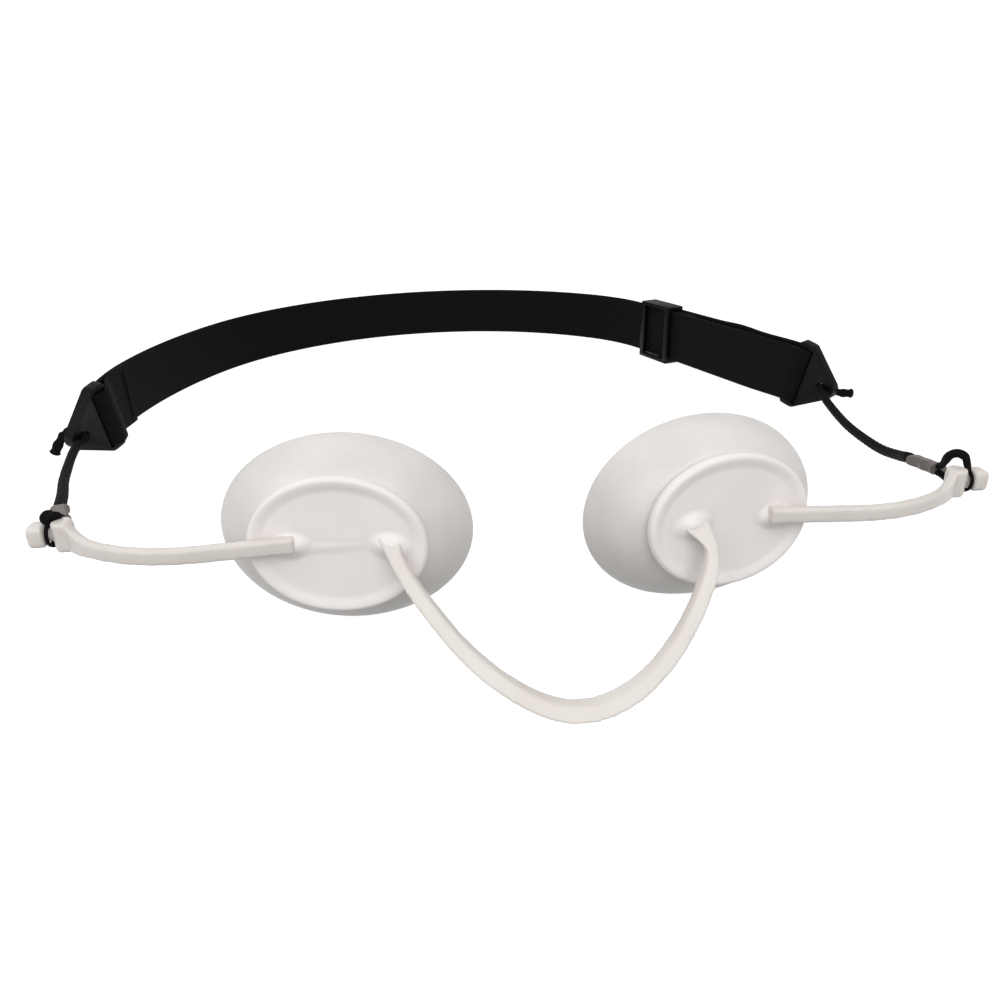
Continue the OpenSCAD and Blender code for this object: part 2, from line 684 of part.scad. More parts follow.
module cord_knot(side) {
    inner = side < 0 ? 1 : -1;
    out = clip_point(side, [hole_reach + 1.2, -inner * (knot_face + 1.6), 0]);
    end = clip_point(side, [hole_reach + 5.5, -inner * (knot_face + 3.0), 0.8]);
    color(webbing_black) union() {
        at_bar(side) swung(side) intersection() {
            translate([hole_reach, -inner * (knot_face + 1.5), 0]) sphere(d = knot_d);
            translate([hole_reach - 5, inner > 0 ? -knot_face - 10 : knot_face, -5]) cube(10);
        }
        on_table() translate(out) rotate([0, acos(unit(end - out)[2]), atan2((end - out)[1], (end - out)[0])])
            cylinder(d = cord_d * 0.9, h = norm(end - out));
    }
}

module left_cord_knot() { cord_knot(left); }
module right_cord_knot() { cord_knot(right); }

// Strap

module head_strap() {
    bends = [for (k = [0:13]) strap_straight + arc_len[0] * k / 13];
    crown = [for (k = [1:11]) s2 + arc_len[1] * k / 11];
    far = [for (k = [1:10]) s3 + (arc_len[2]) * k / 10];
    color(webbing_black) on_table()
        band([for (s = concat([0], bends, crown, far)) station(s, 0)], strap_w, strap_t);
}

module right_strap_fold() {
    color(webbing_black) at_bar(right) rotate([0, 0, -90]) rotate_extrude(angle = 180)
        translate([clip_bar_r + fold_gap, -strap_w / 2]) square([strap_t, strap_w]);
}

// The left end turns round the bar and lies sewn against the inside of the main run.
function sewn_inward(s) =
    let (f = ease((route_len - s) / (fold_len * 0.55)))
    2 * bar_offset * (1 - f) + (strap_t + sewn_gap) * f;

module left_strap_fold() {
    ahead = along_at(route_len);
    across = inward_at(route_len);
    tilted = cos(left_tilt) * ahead - sin(left_tilt) * [0, 0, 1];
    turn = [for (a = [0:15:165]) [left_bar + bar_offset * (sin(a) * tilted - cos(a) * across),
        up_at(route_len), sin(a) * tilted - cos(a) * across]];
    flap = [for (k = [0:8]) let (s = route_len - fold_len * k / 8, p = station(s, sewn_inward(s)))
        [p[0], p[1], -p[2]]];
    color(webbing_black) on_table() band(concat([for (t = turn) [t[0], t[1], -t[2]]], flap), strap_w, strap_t);
}

// Sewn bar across the end of the left fold
module left_bar_tack() {
    from = route_len - fold_len + tack_inset;
    lift = strap_t + sewn_gap + strap_t / 2 + tack_t / 2 + seat_gap;
    color(webbing_black) on_table()
        band([for (s = [from + tack_len, from]) station(s, lift)], strap_w - 3, tack_t);
}

// Axes of the slider: origin on the main run, X towards the left of the strap, Y inward
module at_slider() {
    on_table() translate(centre_at(slider_at, 0)) rotate([0, 0, route_heading]) children();
}

sewn_end_from = slider_at - sewn_end_len;

module strap_adjusting_layer() {
    steps = 6;
    color(webbing_black) on_table() band([for (k = [0:steps])
        let (s = sewn_end_from * k / steps, f = ease(k / steps))
        station(s, -2 * bar_offset * (1 - f) - outer_flap_v * f)], strap_w, strap_t);
}

module strap_sewn_end() {
    color(webbing_black) at_slider() union() {
        translate([0, -centre_bar_v, 0]) rotate([0, 0, -90]) rotate_extrude(angle = 180)
            translate([centre_bar_r + seat_gap, -strap_w / 2]) square([strap_t, strap_w]);
        for (v = [inner_flap_v, outer_flap_v])
            translate([-sewn_end_len, -v - strap_t / 2, -strap_w / 2])
                cube([sewn_end_len, strap_t, strap_w]);
    }
}

module slider_bar_tack() {
    lift = outer_flap_v + strap_t / 2;
    color(webbing_black) at_slider()
        translate([-sewn_end_len + tack_inset, -lift - tack_t, -(strap_w - 3) / 2])
            cube([tack_len, tack_t, strap_w - 3]);
}

module strap_slider() {
    rail_in = strap_w / 2 + slot_gap;
    rail_v = centre_bar_v + centre_bar_r;
    edge_r = 0.6;
    color(clip_black) at_slider() union() {
        for (z = [-1, 1]) translate([-slider_len / 2, -rail_v, z > 0 ? rail_in : -rail_in - rail_t])
            cube([slider_len, rail_v - end_bar_v, rail_t]);
        for (x = [-slider_len / 2, slider_len / 2 - end_bar_w])
            translate([x, -end_bar_v - end_bar_t, -rail_in - rail_t / 2])
                cube([end_bar_w, end_bar_t, 2 * rail_in + rail_t]);
        translate([0, -centre_bar_v, -rail_in - rail_t / 2])
            cylinder(r = centre_bar_r, h = 2 * rail_in + rail_t);
    }
}

left_front_plate();
right_front_plate();
left_blocking_insert();
right_blocking_insert();
left_eye_cup();
right_eye_cup();
nose_bridge();
left_side_arm();
right_side_arm();
left_cord_loop();
right_cord_loop();
left_crimp_sleeve();
right_crimp_sleeve();
left_cord();
right_cord();
left_cord_knot();
right_cord_knot();
left_end_clip();
right_end_clip();
head_strap();
left_strap_fold();
left_bar_tack();
right_strap_fold();
strap_adjusting_layer();
strap_sewn_end();
slider_bar_tack();
strap_slider();
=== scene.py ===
# Disposable laser eye shield: soft cups and front plates on a bent bridge, and a black elastic
# strap with cord ends. Sizes are in millimetres here and turned to metres where a mesh is made.
import math

import bpy
from bpy.props import FloatProperty, PointerProperty, StringProperty
from mathutils import Matrix, Vector


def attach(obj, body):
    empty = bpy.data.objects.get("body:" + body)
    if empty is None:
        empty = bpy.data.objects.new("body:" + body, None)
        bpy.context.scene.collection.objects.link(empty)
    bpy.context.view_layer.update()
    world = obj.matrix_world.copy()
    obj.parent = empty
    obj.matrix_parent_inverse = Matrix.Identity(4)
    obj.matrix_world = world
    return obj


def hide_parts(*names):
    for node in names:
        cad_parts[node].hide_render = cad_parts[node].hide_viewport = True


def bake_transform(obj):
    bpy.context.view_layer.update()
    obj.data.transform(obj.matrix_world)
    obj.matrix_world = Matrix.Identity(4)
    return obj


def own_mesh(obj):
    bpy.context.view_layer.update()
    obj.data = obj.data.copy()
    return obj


bl_info = {
    "name": "Laser eye shield",
    "version": (1, 0, 0),
    "blender": (4, 5, 0),
    "location": "View3D > Sidebar > Eye shield",
    "description": "Models the visible pieces of a disposable laser eye shield over its frame",
    "category": "Add Mesh",
}

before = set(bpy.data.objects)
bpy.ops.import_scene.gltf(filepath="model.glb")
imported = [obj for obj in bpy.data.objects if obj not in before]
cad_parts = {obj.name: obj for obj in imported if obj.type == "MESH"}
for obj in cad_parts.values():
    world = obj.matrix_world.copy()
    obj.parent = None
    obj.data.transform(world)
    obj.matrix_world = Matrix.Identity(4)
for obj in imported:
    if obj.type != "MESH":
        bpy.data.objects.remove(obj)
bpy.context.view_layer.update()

MM = 0.001
UP = Vector((0, 0, 1))
LEFT = -1
RIGHT = 1
SIDES = ((LEFT, "left"), (RIGHT, "right"))
# The cups were placed from the nose's middle line. This is the frame's origin in that placing.
ORIGIN = Vector((-4.3, 94.6, 0))

# Cups and plates, as the solids have them: half sizes, heights in a cup's own axes, and the turns
# of those axes in degrees
RIM_HALF = (22.5, 17.5)
CUP_FRONT_HALF = (14.0, 11.0)
CUP_DEPTH = 12.6
PLATE_HALF = (14.7, 11.7)
PLATE_SHIFT = (1.6, 2.4)
PLATE_T = 2.4
PANEL_DROP = 0.5
LIP_TOP = CUP_DEPTH + PLATE_T
PANEL_TOP = LIP_TOP - PANEL_DROP
EYE_PITCH = 64.4
LEAN_BACK = 4
TOE_OUT = {LEFT: 7.5, RIGHT: 10.5}
RIM_IN_SHIFT = {LEFT: 0.0, RIGHT: 0.9}

# Middle line of the posts' necks, seen from the side
NECK_Y = -98.0
NECK_Z = 20.9

# Middle line of each free cord from behind its clip to the crimp sleeve, as the solids have it
LEFT_CORD = [
    (-109.33, -6.47, 8.39), (-106.56, -7.94, 7.79), (-106.21, -8.74, 7.16), (-105.97, -9.98, 7.0),
    (-106.0, -11.72, 7.14), (-106, -14.2, 7.49), (-105.2, -18.6, 8), (-103.11, -26.13, 8.65),
    (-100.21, -35.59, 9.46), (-97.2, -44.6, 10.5), (-94.14, -52.55, 11.91),
    (-90.97, -60.06, 13.53), (-88.2, -66.6, 15), (-85.98, -72.1, 16.22), (-84.17, -76.63, 17.28),
    (-82.86, -79.89, 18.03), (-82.22, -81.4, 18.34), (-81.85, -82.12, 18.39)]
RIGHT_CORD = [
    (109.43, 2.96, 8.52), (106.74, 1.25, 8.32), (106.6, 0.54, 7.97), (106.24, -0.89, 7.8),
    (105.53, -3.41, 7.63), (104.56, -6.88, 7.49), (103.3, -11.6, 7.5), (101.62, -18.1, 7.68),
    (99.65, -25.85, 8.01), (97.8, -33.6, 8.5), (96.19, -41.23, 9.19), (94.69, -48.86, 10.04),
    (93.3, -55.6, 11), (92.08, -61.03, 12.1), (90.98, -65.57, 13.3), (89.8, -69.6, 14.5),
    (88.31, -73.33, 15.75), (86.76, -76.55, 16.99), (85.65, -78.94, 17.88), (85.32, -80.22, 18.23),
    (85.56, -81.39, 18.27)]
# Middle line of each end loop, out of the sleeve's mouth, round the neck and back. The right one
# is slack and stands up behind the post.
LEFT_LOOP = [
    (-78.34, -89.8, 20.28), (-78.0, -90.61, 20.41), (-77.18, -92.96, 21.27),
    (-76.52, -97.42, 22.71), (-76.52, -97.88, 22.8), (-76.52, -98.35, 22.77),
    (-76.52, -98.79, 22.63), (-76.52, -99.19, 22.38), (-76.52, -99.51, 22.05),
    (-76.52, -99.75, 21.65), (-76.52, -99.88, 21.2), (-76.52, -99.89, 20.73),
    (-76.52, -99.79, 20.28), (-76.52, -99.59, 19.86), (-76.52, -99.29, 19.5),
    (-76.52, -98.91, 19.23), (-76.52, -98.47, 19.06), (-76.52, -98.01, 19),
    (-77.18, -93.32, 18.99), (-78.0, -90.82, 19.08), (-78.34, -90.01, 18.96)]
RIGHT_LOOP = [
    (85.26, -89.8, 20.28), (85.1, -90.6, 20.6), (84.5, -92.2, 22.0), (83.8, -93.8, 23.7),
    (83.7, -95.0, 24.8), (84.2, -96.0, 25.3), (84.95, -96.9, 24.9), (85.12, -97.5, 23.9),
    (85.12, -98.2, 23.0), (85.12, -98.79, 22.63), (85.12, -99.19, 22.38), (85.12, -99.51, 22.05),
    (85.12, -99.75, 21.65), (85.12, -99.88, 21.2), (85.12, -99.89, 20.73), (85.12, -99.79, 20.28),
    (85.12, -99.59, 19.86), (85.12, -99.29, 19.5), (85.12, -98.91, 19.23), (85.12, -98.47, 19.06),
    (85.12, -98.01, 19.0), (85.17, -93.32, 18.99), (85.24, -90.82, 19.08), (85.26, -90.01, 18.96)]
# Each knot: its middle behind the clip, and the two ends of its tail
KNOTS = {
    LEFT: ((-110.63, -5.77, 8.68), (-112.2, -6.9, 8.4), (-114.9, -9.0, 4.0)),
    RIGHT: ((110.7, 3.77, 8.62), (111.42, 2.85, 6.9), (116.0, -0.3, 6.7))}
LOOP_KNOT_AT = (-76.0, -97.7, 23.5)

# Each root's swelling: its name, its node, its side, its place from the nose's middle line and its
# height, its half sizes and its turn in degrees
ROOTS = [
    ("left_arm_root", "left_side_arm", LEFT, -40.0, 20.9, (4.2, 2.6, 1.5), 5),
    ("right_arm_root", "right_side_arm", RIGHT, 40.8, 20.6, (4.2, 2.6, 1.7), -3),
    ("left_bridge_root", "nose_bridge", LEFT, -23.9, 20.9, (4.2, 2.8, 1.3), -10),
    ("right_bridge_root", "nose_bridge", RIGHT, 25.5, 21.3, (4.2, 2.8, 1.3), 10)]

# The strap's route, as the solids have it: a straight piece, three arcs of (radius, degrees), and
# the tilt of its ends in degrees
ROUTE_START = (100.5, 9.1)
ROUTE_HEADING = 109.9
STRAIGHT = 80
ARCS = [(55, 30), (94.9, 104.3), (160, 28)]
ROUTE_LEN = STRAIGHT + sum(r * math.radians(a) for r, a in ARCS)
STRAP_Z = 11.05
TILT_LEN = 26
LEFT_TILT = 21
RIGHT_TILT = 16

# The strap's layers: a V is a layer's distance outward or inward from the main run
BAR_OFFSET = 2.45
FOLD_LEN = 22
SEWN_GAP = 0.1
SEAT_GAP = 0.05
SLIDER_AT = 69.5
SEWN_END_LEN = 20
INNER_FLAP_V = 1.4
OUTER_FLAP_V = 4.7
CENTRE_BAR_V = 3.05
CENTRE_BAR_R = 1.0

# A bar tack: how far it lies from the end of its layer, half its length, half its width, how many
# stitches it has, the thread's radius and the height of the thread's middle over the strap
TACK_FROM_END = 2.8
TACK_HALF = 7.3
STITCH_HALF = 0.65
STITCHES = 30
THREAD_R = 0.17
THREAD_RISE = 0.13

# The camera that fits the photograph: azimuth, elevation and roll in degrees, place, lens and film
CAMERA_TURN = (5.02, 24.32, -1.31)
CAMERA_AT = (-11.97, -224.84, 79.81)
CAMERA_LENS = 28.8
CAMERA_FILM = 36

# Soft lamps: name, place in metres and power in watts
LAMPS = (
    ("key", (0.1, -0.6, 0.5), 2.5),
    ("fill", (-0.5, -0.35, 0.4), 1.1),
    ("rim", (-0.2, 0.6, 0.6), 1.0))
LAMP_SIZE = 0.6
SKY_STRENGTH = 0.57
FLOOR_GLOW = 0.94


class ShieldSizes(bpy.types.PropertyGroup):
    """Sizes of the visible pieces, in metres"""

    lip: FloatProperty(
        name="Lip width", description="Width of a front plate's raised lip",
        default=1.8 * MM, unit="LENGTH")
    edge: FloatProperty(
        name="Moulded edge", description="Rounding of the hard pieces' edges",
        default=0.4 * MM, unit="LENGTH")
    strap_width: FloatProperty(
        name="Strap width", description="Width of the elastic strap",
        default=18 * MM, unit="LENGTH")
    strap_thickness: FloatProperty(
        name="Strap thickness", description="Thickness of the elastic strap",
        default=1.2 * MM, unit="LENGTH")
    cord: FloatProperty(
        name="Cord diameter", description="Diameter of the elastic cord",
        default=2.2 * MM, unit="LENGTH")
    strand: FloatProperty(
        name="Loop strand", description="Diameter of the stretched strand in a loop",
        default=1.3 * MM, unit="LENGTH")


class ShieldColours(bpy.types.PropertyGroup):
    """Colours of the visible pieces, as sRGB hex values"""

    cup: StringProperty(name="Cup", description="Soft cup", default="#e3dfdc")
    plate: StringProperty(name="Plate", description="Front plate", default="#f1ecea")
    ivory: StringProperty(name="Frame", description="Bridge and side arms", default="#dfd9d4")
    webbing: StringProperty(name="Webbing", description="Strap and cord", default="#080607")
    clip: StringProperty(name="Clip", description="Clips and slider", default="#080607")
    crimp: StringProperty(name="Crimp sleeve", description="Crimp sleeves", default="#78706c")


# Colours and materials


def linear(code, alpha=1.0):
    """Linear colour of an sRGB hex value."""
    out = []
    for i in (1, 3, 5):
        c = int(code[i:i + 2], 16) / 255
        out.append(c / 12.92 if c <= 0.04045 else ((c + 0.055) / 1.055) ** 2.4)
    return (*out, alpha)


def add_node(tree, kind, settings=None, inputs=None):
    """Adds one shader node with its settings, and links or values on its sockets."""
    n = tree.nodes.new(kind)
    for key, value in (settings or {}).items():
        setattr(n, key, value)
    for key, value in (inputs or {}).items():
        if isinstance(value, bpy.types.NodeSocket):
            tree.links.new(value, n.inputs[key])
        else:
            n.inputs[key].default_value = value
    return n


def new_material(name):
    """A material with its Principled shader and output, and nothing else."""
    m = bpy.data.materials.new(name)
    m.use_nodes = True
    tree = m.node_tree
    tree.nodes.clear()
    shader = add_node(tree, "ShaderNodeBsdfPrincipled")
    add_node(tree, "ShaderNodeOutputMaterial", inputs={"Surface": shader.outputs[0]})
    return m, tree, shader


def moulded(name, code, shade, roughness, spread, grain_mm, height, subsurface=0.0, coat=0.0,
            gloss=0.5):
    """An injection moulded plastic: mottled a little in colour and gloss, with a fine grain."""
    m, tree, shader = new_material(name)
    cloud_mm, low, high = 9, 0.3, 0.7
    place = add_node(tree, "ShaderNodeTexCoord")
    cloud = add_node(
        tree, "ShaderNodeTexNoise",
        inputs={"Vector": place.outputs["Object"], "Scale": 1 / (cloud_mm * MM), "Detail": 3.0})
    tint = add_node(tree, "ShaderNodeValToRGB", inputs={"Fac": cloud.outputs["Fac"]})
    tint.color_ramp.elements[0].position = low
    tint.color_ramp.elements[0].color = linear(shade)
    tint.color_ramp.elements[1].position = high
    tint.color_ramp.elements[1].color = linear(code)
    sheen = add_node(
        tree, "ShaderNodeMapRange",
        inputs={"Value": cloud.outputs["Fac"], "From Min": low, "From Max": high,
                "To Min": roughness - spread, "To Max": roughness + spread})
    grain = add_node(
        tree, "ShaderNodeTexNoise",
        inputs={"Vector": place.outputs["Object"], "Scale": 1 / (grain_mm * MM), "Detail": 4.0})
    bump = add_node(
        tree, "ShaderNodeBump",
        inputs={"Height": grain.outputs["Fac"], "Strength": 0.5, "Distance": height * MM})
    tree.links.new(tint.outputs["Color"], shader.inputs["Base Color"])
    tree.links.new(sheen.outputs["Result"], shader.inputs["Roughness"])
    tree.links.new(bump.outputs["Normal"], shader.inputs["Normal"])
    shader.inputs["IOR"].default_value = 1.47
    shader.inputs["Coat Weight"].default_value = coat
    shader.inputs["Specular IOR Level"].default_value = gloss
    if subsurface:
        shader.inputs["Subsurface Weight"].default_value = subsurface
        shader.inputs["Subsurface Radius"].default_value = (1.0, 0.9, 0.8)
        shader.inputs["Subsurface Scale"].default_value = 1.5 * MM
    return m


def cup_elastomer(colours):
    """Translucent thermoplastic elastomer, moulded: soft satin, and a little light goes in."""
    return moulded("Moulded soft elastomer", colours.cup, "#dad7d3", roughness=0.45, spread=0.05,
                   grain_mm=0.7, height=0.03, subsurface=0.35)


def plate_polymer(colours):
    """Filled polypropylene, moulded: a pinkish white with a fine eroded grain and a low sheen."""
    return moulded("Moulded filled polypropylene", colours.plate, "#ece6e4", roughness=0.4,
                   spread=0.05, grain_mm=0.5, height=0.02, subsurface=0.12)


def frame_polymer(colours):
    """Natural polyamide, moulded: an ivory white, smoother and glossier than the plates."""
    return moulded("Moulded ivory polyamide", colours.ivory, "#d8d1cb", roughness=0.34,
                   spread=0.05, grain_mm=0.6, height=0.015, subsurface=0.15, coat=0.1)


def clip_polymer(colours):
    """Black acetal, moulded: even and low in gloss, with a faint light on its rounded edges."""
    return moulded("Moulded black acetal", colours.clip, "#0c0a0b", roughness=0.42, spread=0.06,
                   grain_mm=0.6, height=0.02, gloss=0.13)


def crimp_polymer(colours):
    """Soft tubing pressed flat on the cord: grey brown, with the press marks left dull."""
    return moulded("Crimped polymer tubing", colours.crimp, "#6a625e", roughness=0.5, spread=0.08,
                   grain_mm=0.5, height=0.04)


def blanked_steel(colours):
    """Stainless sheet, rolled and blanked: fine lines one way."""
    m, tree, shader = new_material("Rolled stainless sheet")
    place = add_node(tree, "ShaderNodeTexCoord")
    spread = add_node(
        tree, "ShaderNodeMapping",
        inputs={"Vector": place.outputs["Object"], "Scale": (60.0, 60.0, 3000.0)})
    lines = add_node(
        tree, "ShaderNodeTexNoise", inputs={"Vector": spread.outputs[0], "Scale": 1.0})
    rough = add_node(
        tree, "ShaderNodeMapRange",
        inputs={"Value": lines.outputs["Fac"], "To Min": 0.25, "To Max": 0.42})
    tree.links.new(rough.outputs["Result"], shader.inputs["Roughness"])
    shader.inputs["Base Color"].default_value = linear("#b9bcc0")
    shader.inputs["Metallic"].default_value = 1.0
    return m


def woven(name, code, lit, along_mm, across_mm, height):
    """Yarn over rubber threads: ribs along the piece, crossed by a finer filling yarn.

    The piece's own UV map counts millimetres along and across it. The ribs are across_mm apart,
    and the filling crosses them every along_mm.
    """
    m, tree, shader = new_material(name)
    rib_share, filling_share, fuzz_share, fuzz_mm = 0.6, 0.4, 0.8, 0.5
    place = add_node(tree, "ShaderNodeUVMap", settings={"uv_map": "yarn"})
    split = add_node(tree, "ShaderNodeSeparateXYZ", inputs={"Vector": place.outputs[0]})
    along, across = (
        add_node(tree, "ShaderNodeMath", settings={"operation": "MULTIPLY"},
                 inputs={0: split.outputs[socket], 1: 2 * math.pi / pitch})
        for socket, pitch in (("X", along_mm), ("Y", across_mm)))
    # Each rib is shifted by half a stitch against its neighbour, as a knitted braid is.
    shift = add_node(tree, "ShaderNodeMath", settings={"operation": "MULTIPLY"},
                     inputs={0: across.outputs[0], 1: 0.5})
    shifted = add_node(tree, "ShaderNodeMath", settings={"operation": "ADD"},
                       inputs={0: along.outputs[0], 1: shift.outputs[0]})
    filling = add_node(tree, "ShaderNodeMath", settings={"operation": "SINE"},
                       inputs={0: shifted.outputs[0]})
    rib = add_node(tree, "ShaderNodeMath", settings={"operation": "COSINE"},
                   inputs={0: across.outputs[0]})
    rib_part = add_node(tree, "ShaderNodeMath", settings={"operation": "MULTIPLY"},
                        inputs={0: rib.outputs[0], 1: rib_share})
    yarn = add_node(tree, "ShaderNodeMath", settings={"operation": "MULTIPLY_ADD"},
                    inputs={0: filling.outputs[0], 1: filling_share, 2: rib_part.outputs[0]})
    fuzz_place = add_node(tree, "ShaderNodeTexCoord")
    fuzz = add_node(
        tree, "ShaderNodeTexNoise",
        inputs={"Vector": fuzz_place.outputs["Object"], "Scale": 1 / (fuzz_mm * MM),
                "Detail": 3.0})
    blend = add_node(tree, "ShaderNodeMath", settings={"operation": "MULTIPLY_ADD"},
                     inputs={0: fuzz.outputs["Fac"], 1: fuzz_share, 2: yarn.outputs[0]})
    spread = add_node(
        tree, "ShaderNodeMapRange",
        inputs={"Value": blend.outputs[0], "From Min": -0.6, "From Max": 1.4})
    tint = add_node(tree, "ShaderNodeValToRGB", inputs={"Fac": spread.outputs["Result"]})
    tint.color_ramp.elements[0].color = linear(code)
    tint.color_ramp.elements[1].color = linear(lit)
    bump = add_node(
        tree, "ShaderNodeBump",
        inputs={"Height": blend.outputs[0], "Strength": 0.7, "Distance": height * MM})
    tree.links.new(tint.outputs["Color"], shader.inputs["Base Color"])
    tree.links.new(bump.outputs["Normal"], shader.inputs["Normal"])
    shader.inputs["Roughness"].default_value = 0.82
    shader.inputs["Specular IOR Level"].default_value = 0.1
    return m


def strap_webbing(colours):
    """Polyester knitted over rubber threads: matt black, with flat ribs along the strap."""
    return woven("Knitted elastic webbing", colours.webbing, "#131112", along_mm=0.9,
                 across_mm=1.2, height=0.12)


def cord_braid(colours):
    """Polyester braided over a rubber core: matt black, with short slanting stitches."""
    return woven("Braided elastic cord", colours.webbing, "#141213", along_mm=1.1, across_mm=0.9,
                 height=0.1)


def tack_thread(colours):
    """Twisted polyester sewing thread: black, and a little lighter than the strap."""
    return woven("Twisted polyester thread", "#0e0c0d", "#1f1c1d", along_mm=0.5, across_mm=0.5,
                 height=0.05)


def seen_by(tree, *kinds):
    """1 for the named kinds of ray and 0 for the rest, for a background that lights nothing."""
    rays = add_node(tree, "ShaderNodeLightPath")
    seen = rays.outputs[kinds[0]]
    for kind in kinds[1:]:
        most = add_node(tree, "ShaderNodeMath", settings={"operation": "MAXIMUM"},
                        inputs={0: seen, 1: rays.outputs[kind]})
        seen = most.outputs[0]
    return seen


MAKERS = {
    "soft_cup": cup_elastomer,
    "plate_plastic": plate_polymer,
    "frame_plastic": frame_polymer,
    "clip_plastic": clip_polymer,
    "crimp_grey": crimp_polymer,
    "insert_metal": blanked_steel,
    "webbing_black": strap_webbing,
    "cord_black": cord_braid,
    "thread_black": tack_thread,
}
MATERIALS = {}


def material(kind):
    """The shared material of one kind, made the first time it is asked for."""
    if kind not in MATERIALS:
        MATERIALS[kind] = MAKERS[kind](bpy.context.scene.shield_colours)
    return MATERIALS[kind]


# Modelling helpers


def clear_selection():
    """Leaves object mode's selection empty."""
    if bpy.context.object and bpy.context.object.mode != "OBJECT":
        bpy.ops.object.mode_set(mode="OBJECT")
    bpy.ops.object.select_all(action="DESELECT")


def activate(obj):
    """Makes one object the selected and active one."""
    clear_selection()
    obj.select_set(True)
    bpy.context.view_layer.objects.active = obj


def settle(obj, kind, body, nodes, angle):
    """Gives a finished piece its material, shading and body, and hides its solids."""
    activate(obj)
    obj.data.materials.clear()
    obj.data.materials.append(material(kind))
    bpy.ops.object.shade_smooth_by_angle(angle=math.radians(angle))
    if body:
        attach(obj, body)
    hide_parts(*nodes)


def eye_axes(side):
    """A cup's own axes in the frame: Z forward out of the face, Y up, X to the right."""
    lean = math.radians(LEAN_BACK)
    return (Matrix.Translation(-ORIGIN)
            @ Matrix.Translation((0, 0, RIM_HALF[1] * math.cos(lean)))
            @ Matrix.Rotation(-lean, 4, "X")
            @ Matrix.Translation((side * EYE_PITCH / 2 - RIM_IN_SHIFT[side], 0, 0))
            @ Matrix.Rotation(math.radians(side * TOE_OUT[side]), 4, "Z")
            @ Matrix.Rotation(math.radians(90), 4, "X"))


def place_mesh(obj, matrix):
    """Moves a mesh and leaves its object at the origin."""
    obj.data.transform(matrix)
    obj.data.update()


def place_on_eye(obj, side):
    """Moves a mesh from a cup's own axes, in millimetres, to its place in metres."""
    place_mesh(obj, Matrix.Scale(MM, 4) @ eye_axes(side))


def pull_rings(name, rings, around):
    """A skin pulled from one circle: each ring is extruded from the last, then moved and scaled.

    A ring is its half width, half height, depth, and the shift and rise of its middle.
    """
    clear_selection()
    bpy.ops.mesh.primitive_circle_add(vertices=around, radius=1.0, fill_type="NGON")
    obj = bpy.context.object
    obj.name = name
    bpy.ops.object.mode_set(mode="EDIT")
    bpy.ops.mesh.select_all(action="SELECT")
    w, h, n, x, y = rings[0]
    bpy.ops.transform.resize(value=(w, h, 1), center_override=(0, 0, 0))
    bpy.ops.transform.translate(value=(x, y, n))
    for w2, h2, n2, x2, y2 in rings[1:]:
        bpy.ops.mesh.extrude_region_move(
            TRANSFORM_OT_translate={"value": (x2 - x, y2 - y, n2 - n)})
        bpy.ops.transform.resize(value=(w2 / w, h2 / h, 1), center_override=(x2, y2, n2))
        w, h, n, x, y = w2, h2, n2, x2, y2
    bpy.ops.mesh.select_all(action="SELECT")
    bpy.ops.mesh.normals_make_consistent(inside=False)
    bpy.ops.object.mode_set(mode="OBJECT")
    return obj


def on_panel(side, x, z):
    """Place on a plate's flat panel, in the cup's own axes, behind a point seen from the front."""
    front_y, back_y = -140, -90
    back = eye_axes(side).inverted()
    near, far = back @ Vector((x, front_y, z)), back @ Vector((x, back_y, z))
    return near + (far - near) * ((PANEL_TOP - near.z) / (far.z - near.z))


def pad(name, centre, half, turn):
    """A low swelling on a plate's panel: rings that rise smoothly from it to a rounded top."""
    w, h, rise = half
    steps, sunk = 13, 0.15
    rings = [(w, h, -sunk, 0, 0), (w, h, 0.0, 0, 0)]
    for k in range(1, steps):
        q = 1 - k / steps
        rings.append((w * q, h * q, rise * (0.5 + 0.5 * math.cos(math.pi * q)), 0, 0))
    obj = pull_rings(name, rings, around=48)
    place_mesh(obj, Matrix.Translation(centre) @ Matrix.Rotation(math.radians(turn), 4, "Z"))
    return obj


def copy_of(node, name):
    """A copy of a solid to work on, linked and active."""
    obj = bpy.data.objects.new(name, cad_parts[node].data.copy())
    bpy.context.scene.collection.objects.link(obj)
    activate(obj)
    return obj


def melted(node, name, grain, passes):
    """A copy of a hard solid with its edges and inner corners flowed into moulded fillets."""
    obj = copy_of(node, name)
    even = obj.modifiers.new("even mesh", "REMESH")
    even.mode = "VOXEL"
    even.voxel_size = grain
    bpy.ops.object.modifier_apply(modifier=even.name)
    flow = obj.modifiers.new("flow", "SMOOTH")
    flow.factor = 0.5
    flow.iterations = passes
    bpy.ops.object.modifier_apply(modifier=flow.name)
    # The flow draws the skin in by about a grain in 40 passes, so it is let out again.
    out = obj.modifiers.new("full size", "DISPLACE")
    out.strength = grain * passes / 40
    out.mid_level = 0.0
    bpy.ops.object.modifier_apply(modifier=out.name)
    return obj


def softened(node, name, width):
    """A copy of a hard solid with its sharp edges rounded, as they leave the mould."""
    obj = copy_of(node, name)
    bpy.ops.object.mode_set(mode="EDIT")
    bpy.ops.mesh.select_all(action="SELECT")
    bpy.ops.mesh.remove_doubles(threshold=0.002 * MM)
    bpy.ops.mesh.dissolve_limited(angle_limit=math.radians(0.5))
    bpy.ops.object.mode_set(mode="OBJECT")
    bevel = obj.modifiers.new("moulded edge", "BEVEL")
    bevel.width = width
    bevel.segments = 3
    bevel.limit_method = "ANGLE"
    bevel.angle_limit = math.radians(32)
    bpy.ops.object.modifier_apply(modifier=bevel.name)
    return obj


# Soft pieces follow lines of points, in millimetres


def ease(x):
    """A smooth step from 0 to 1."""
    c = min(1.0, max(0.0, x))
    return c * c * (3 - 2 * c)


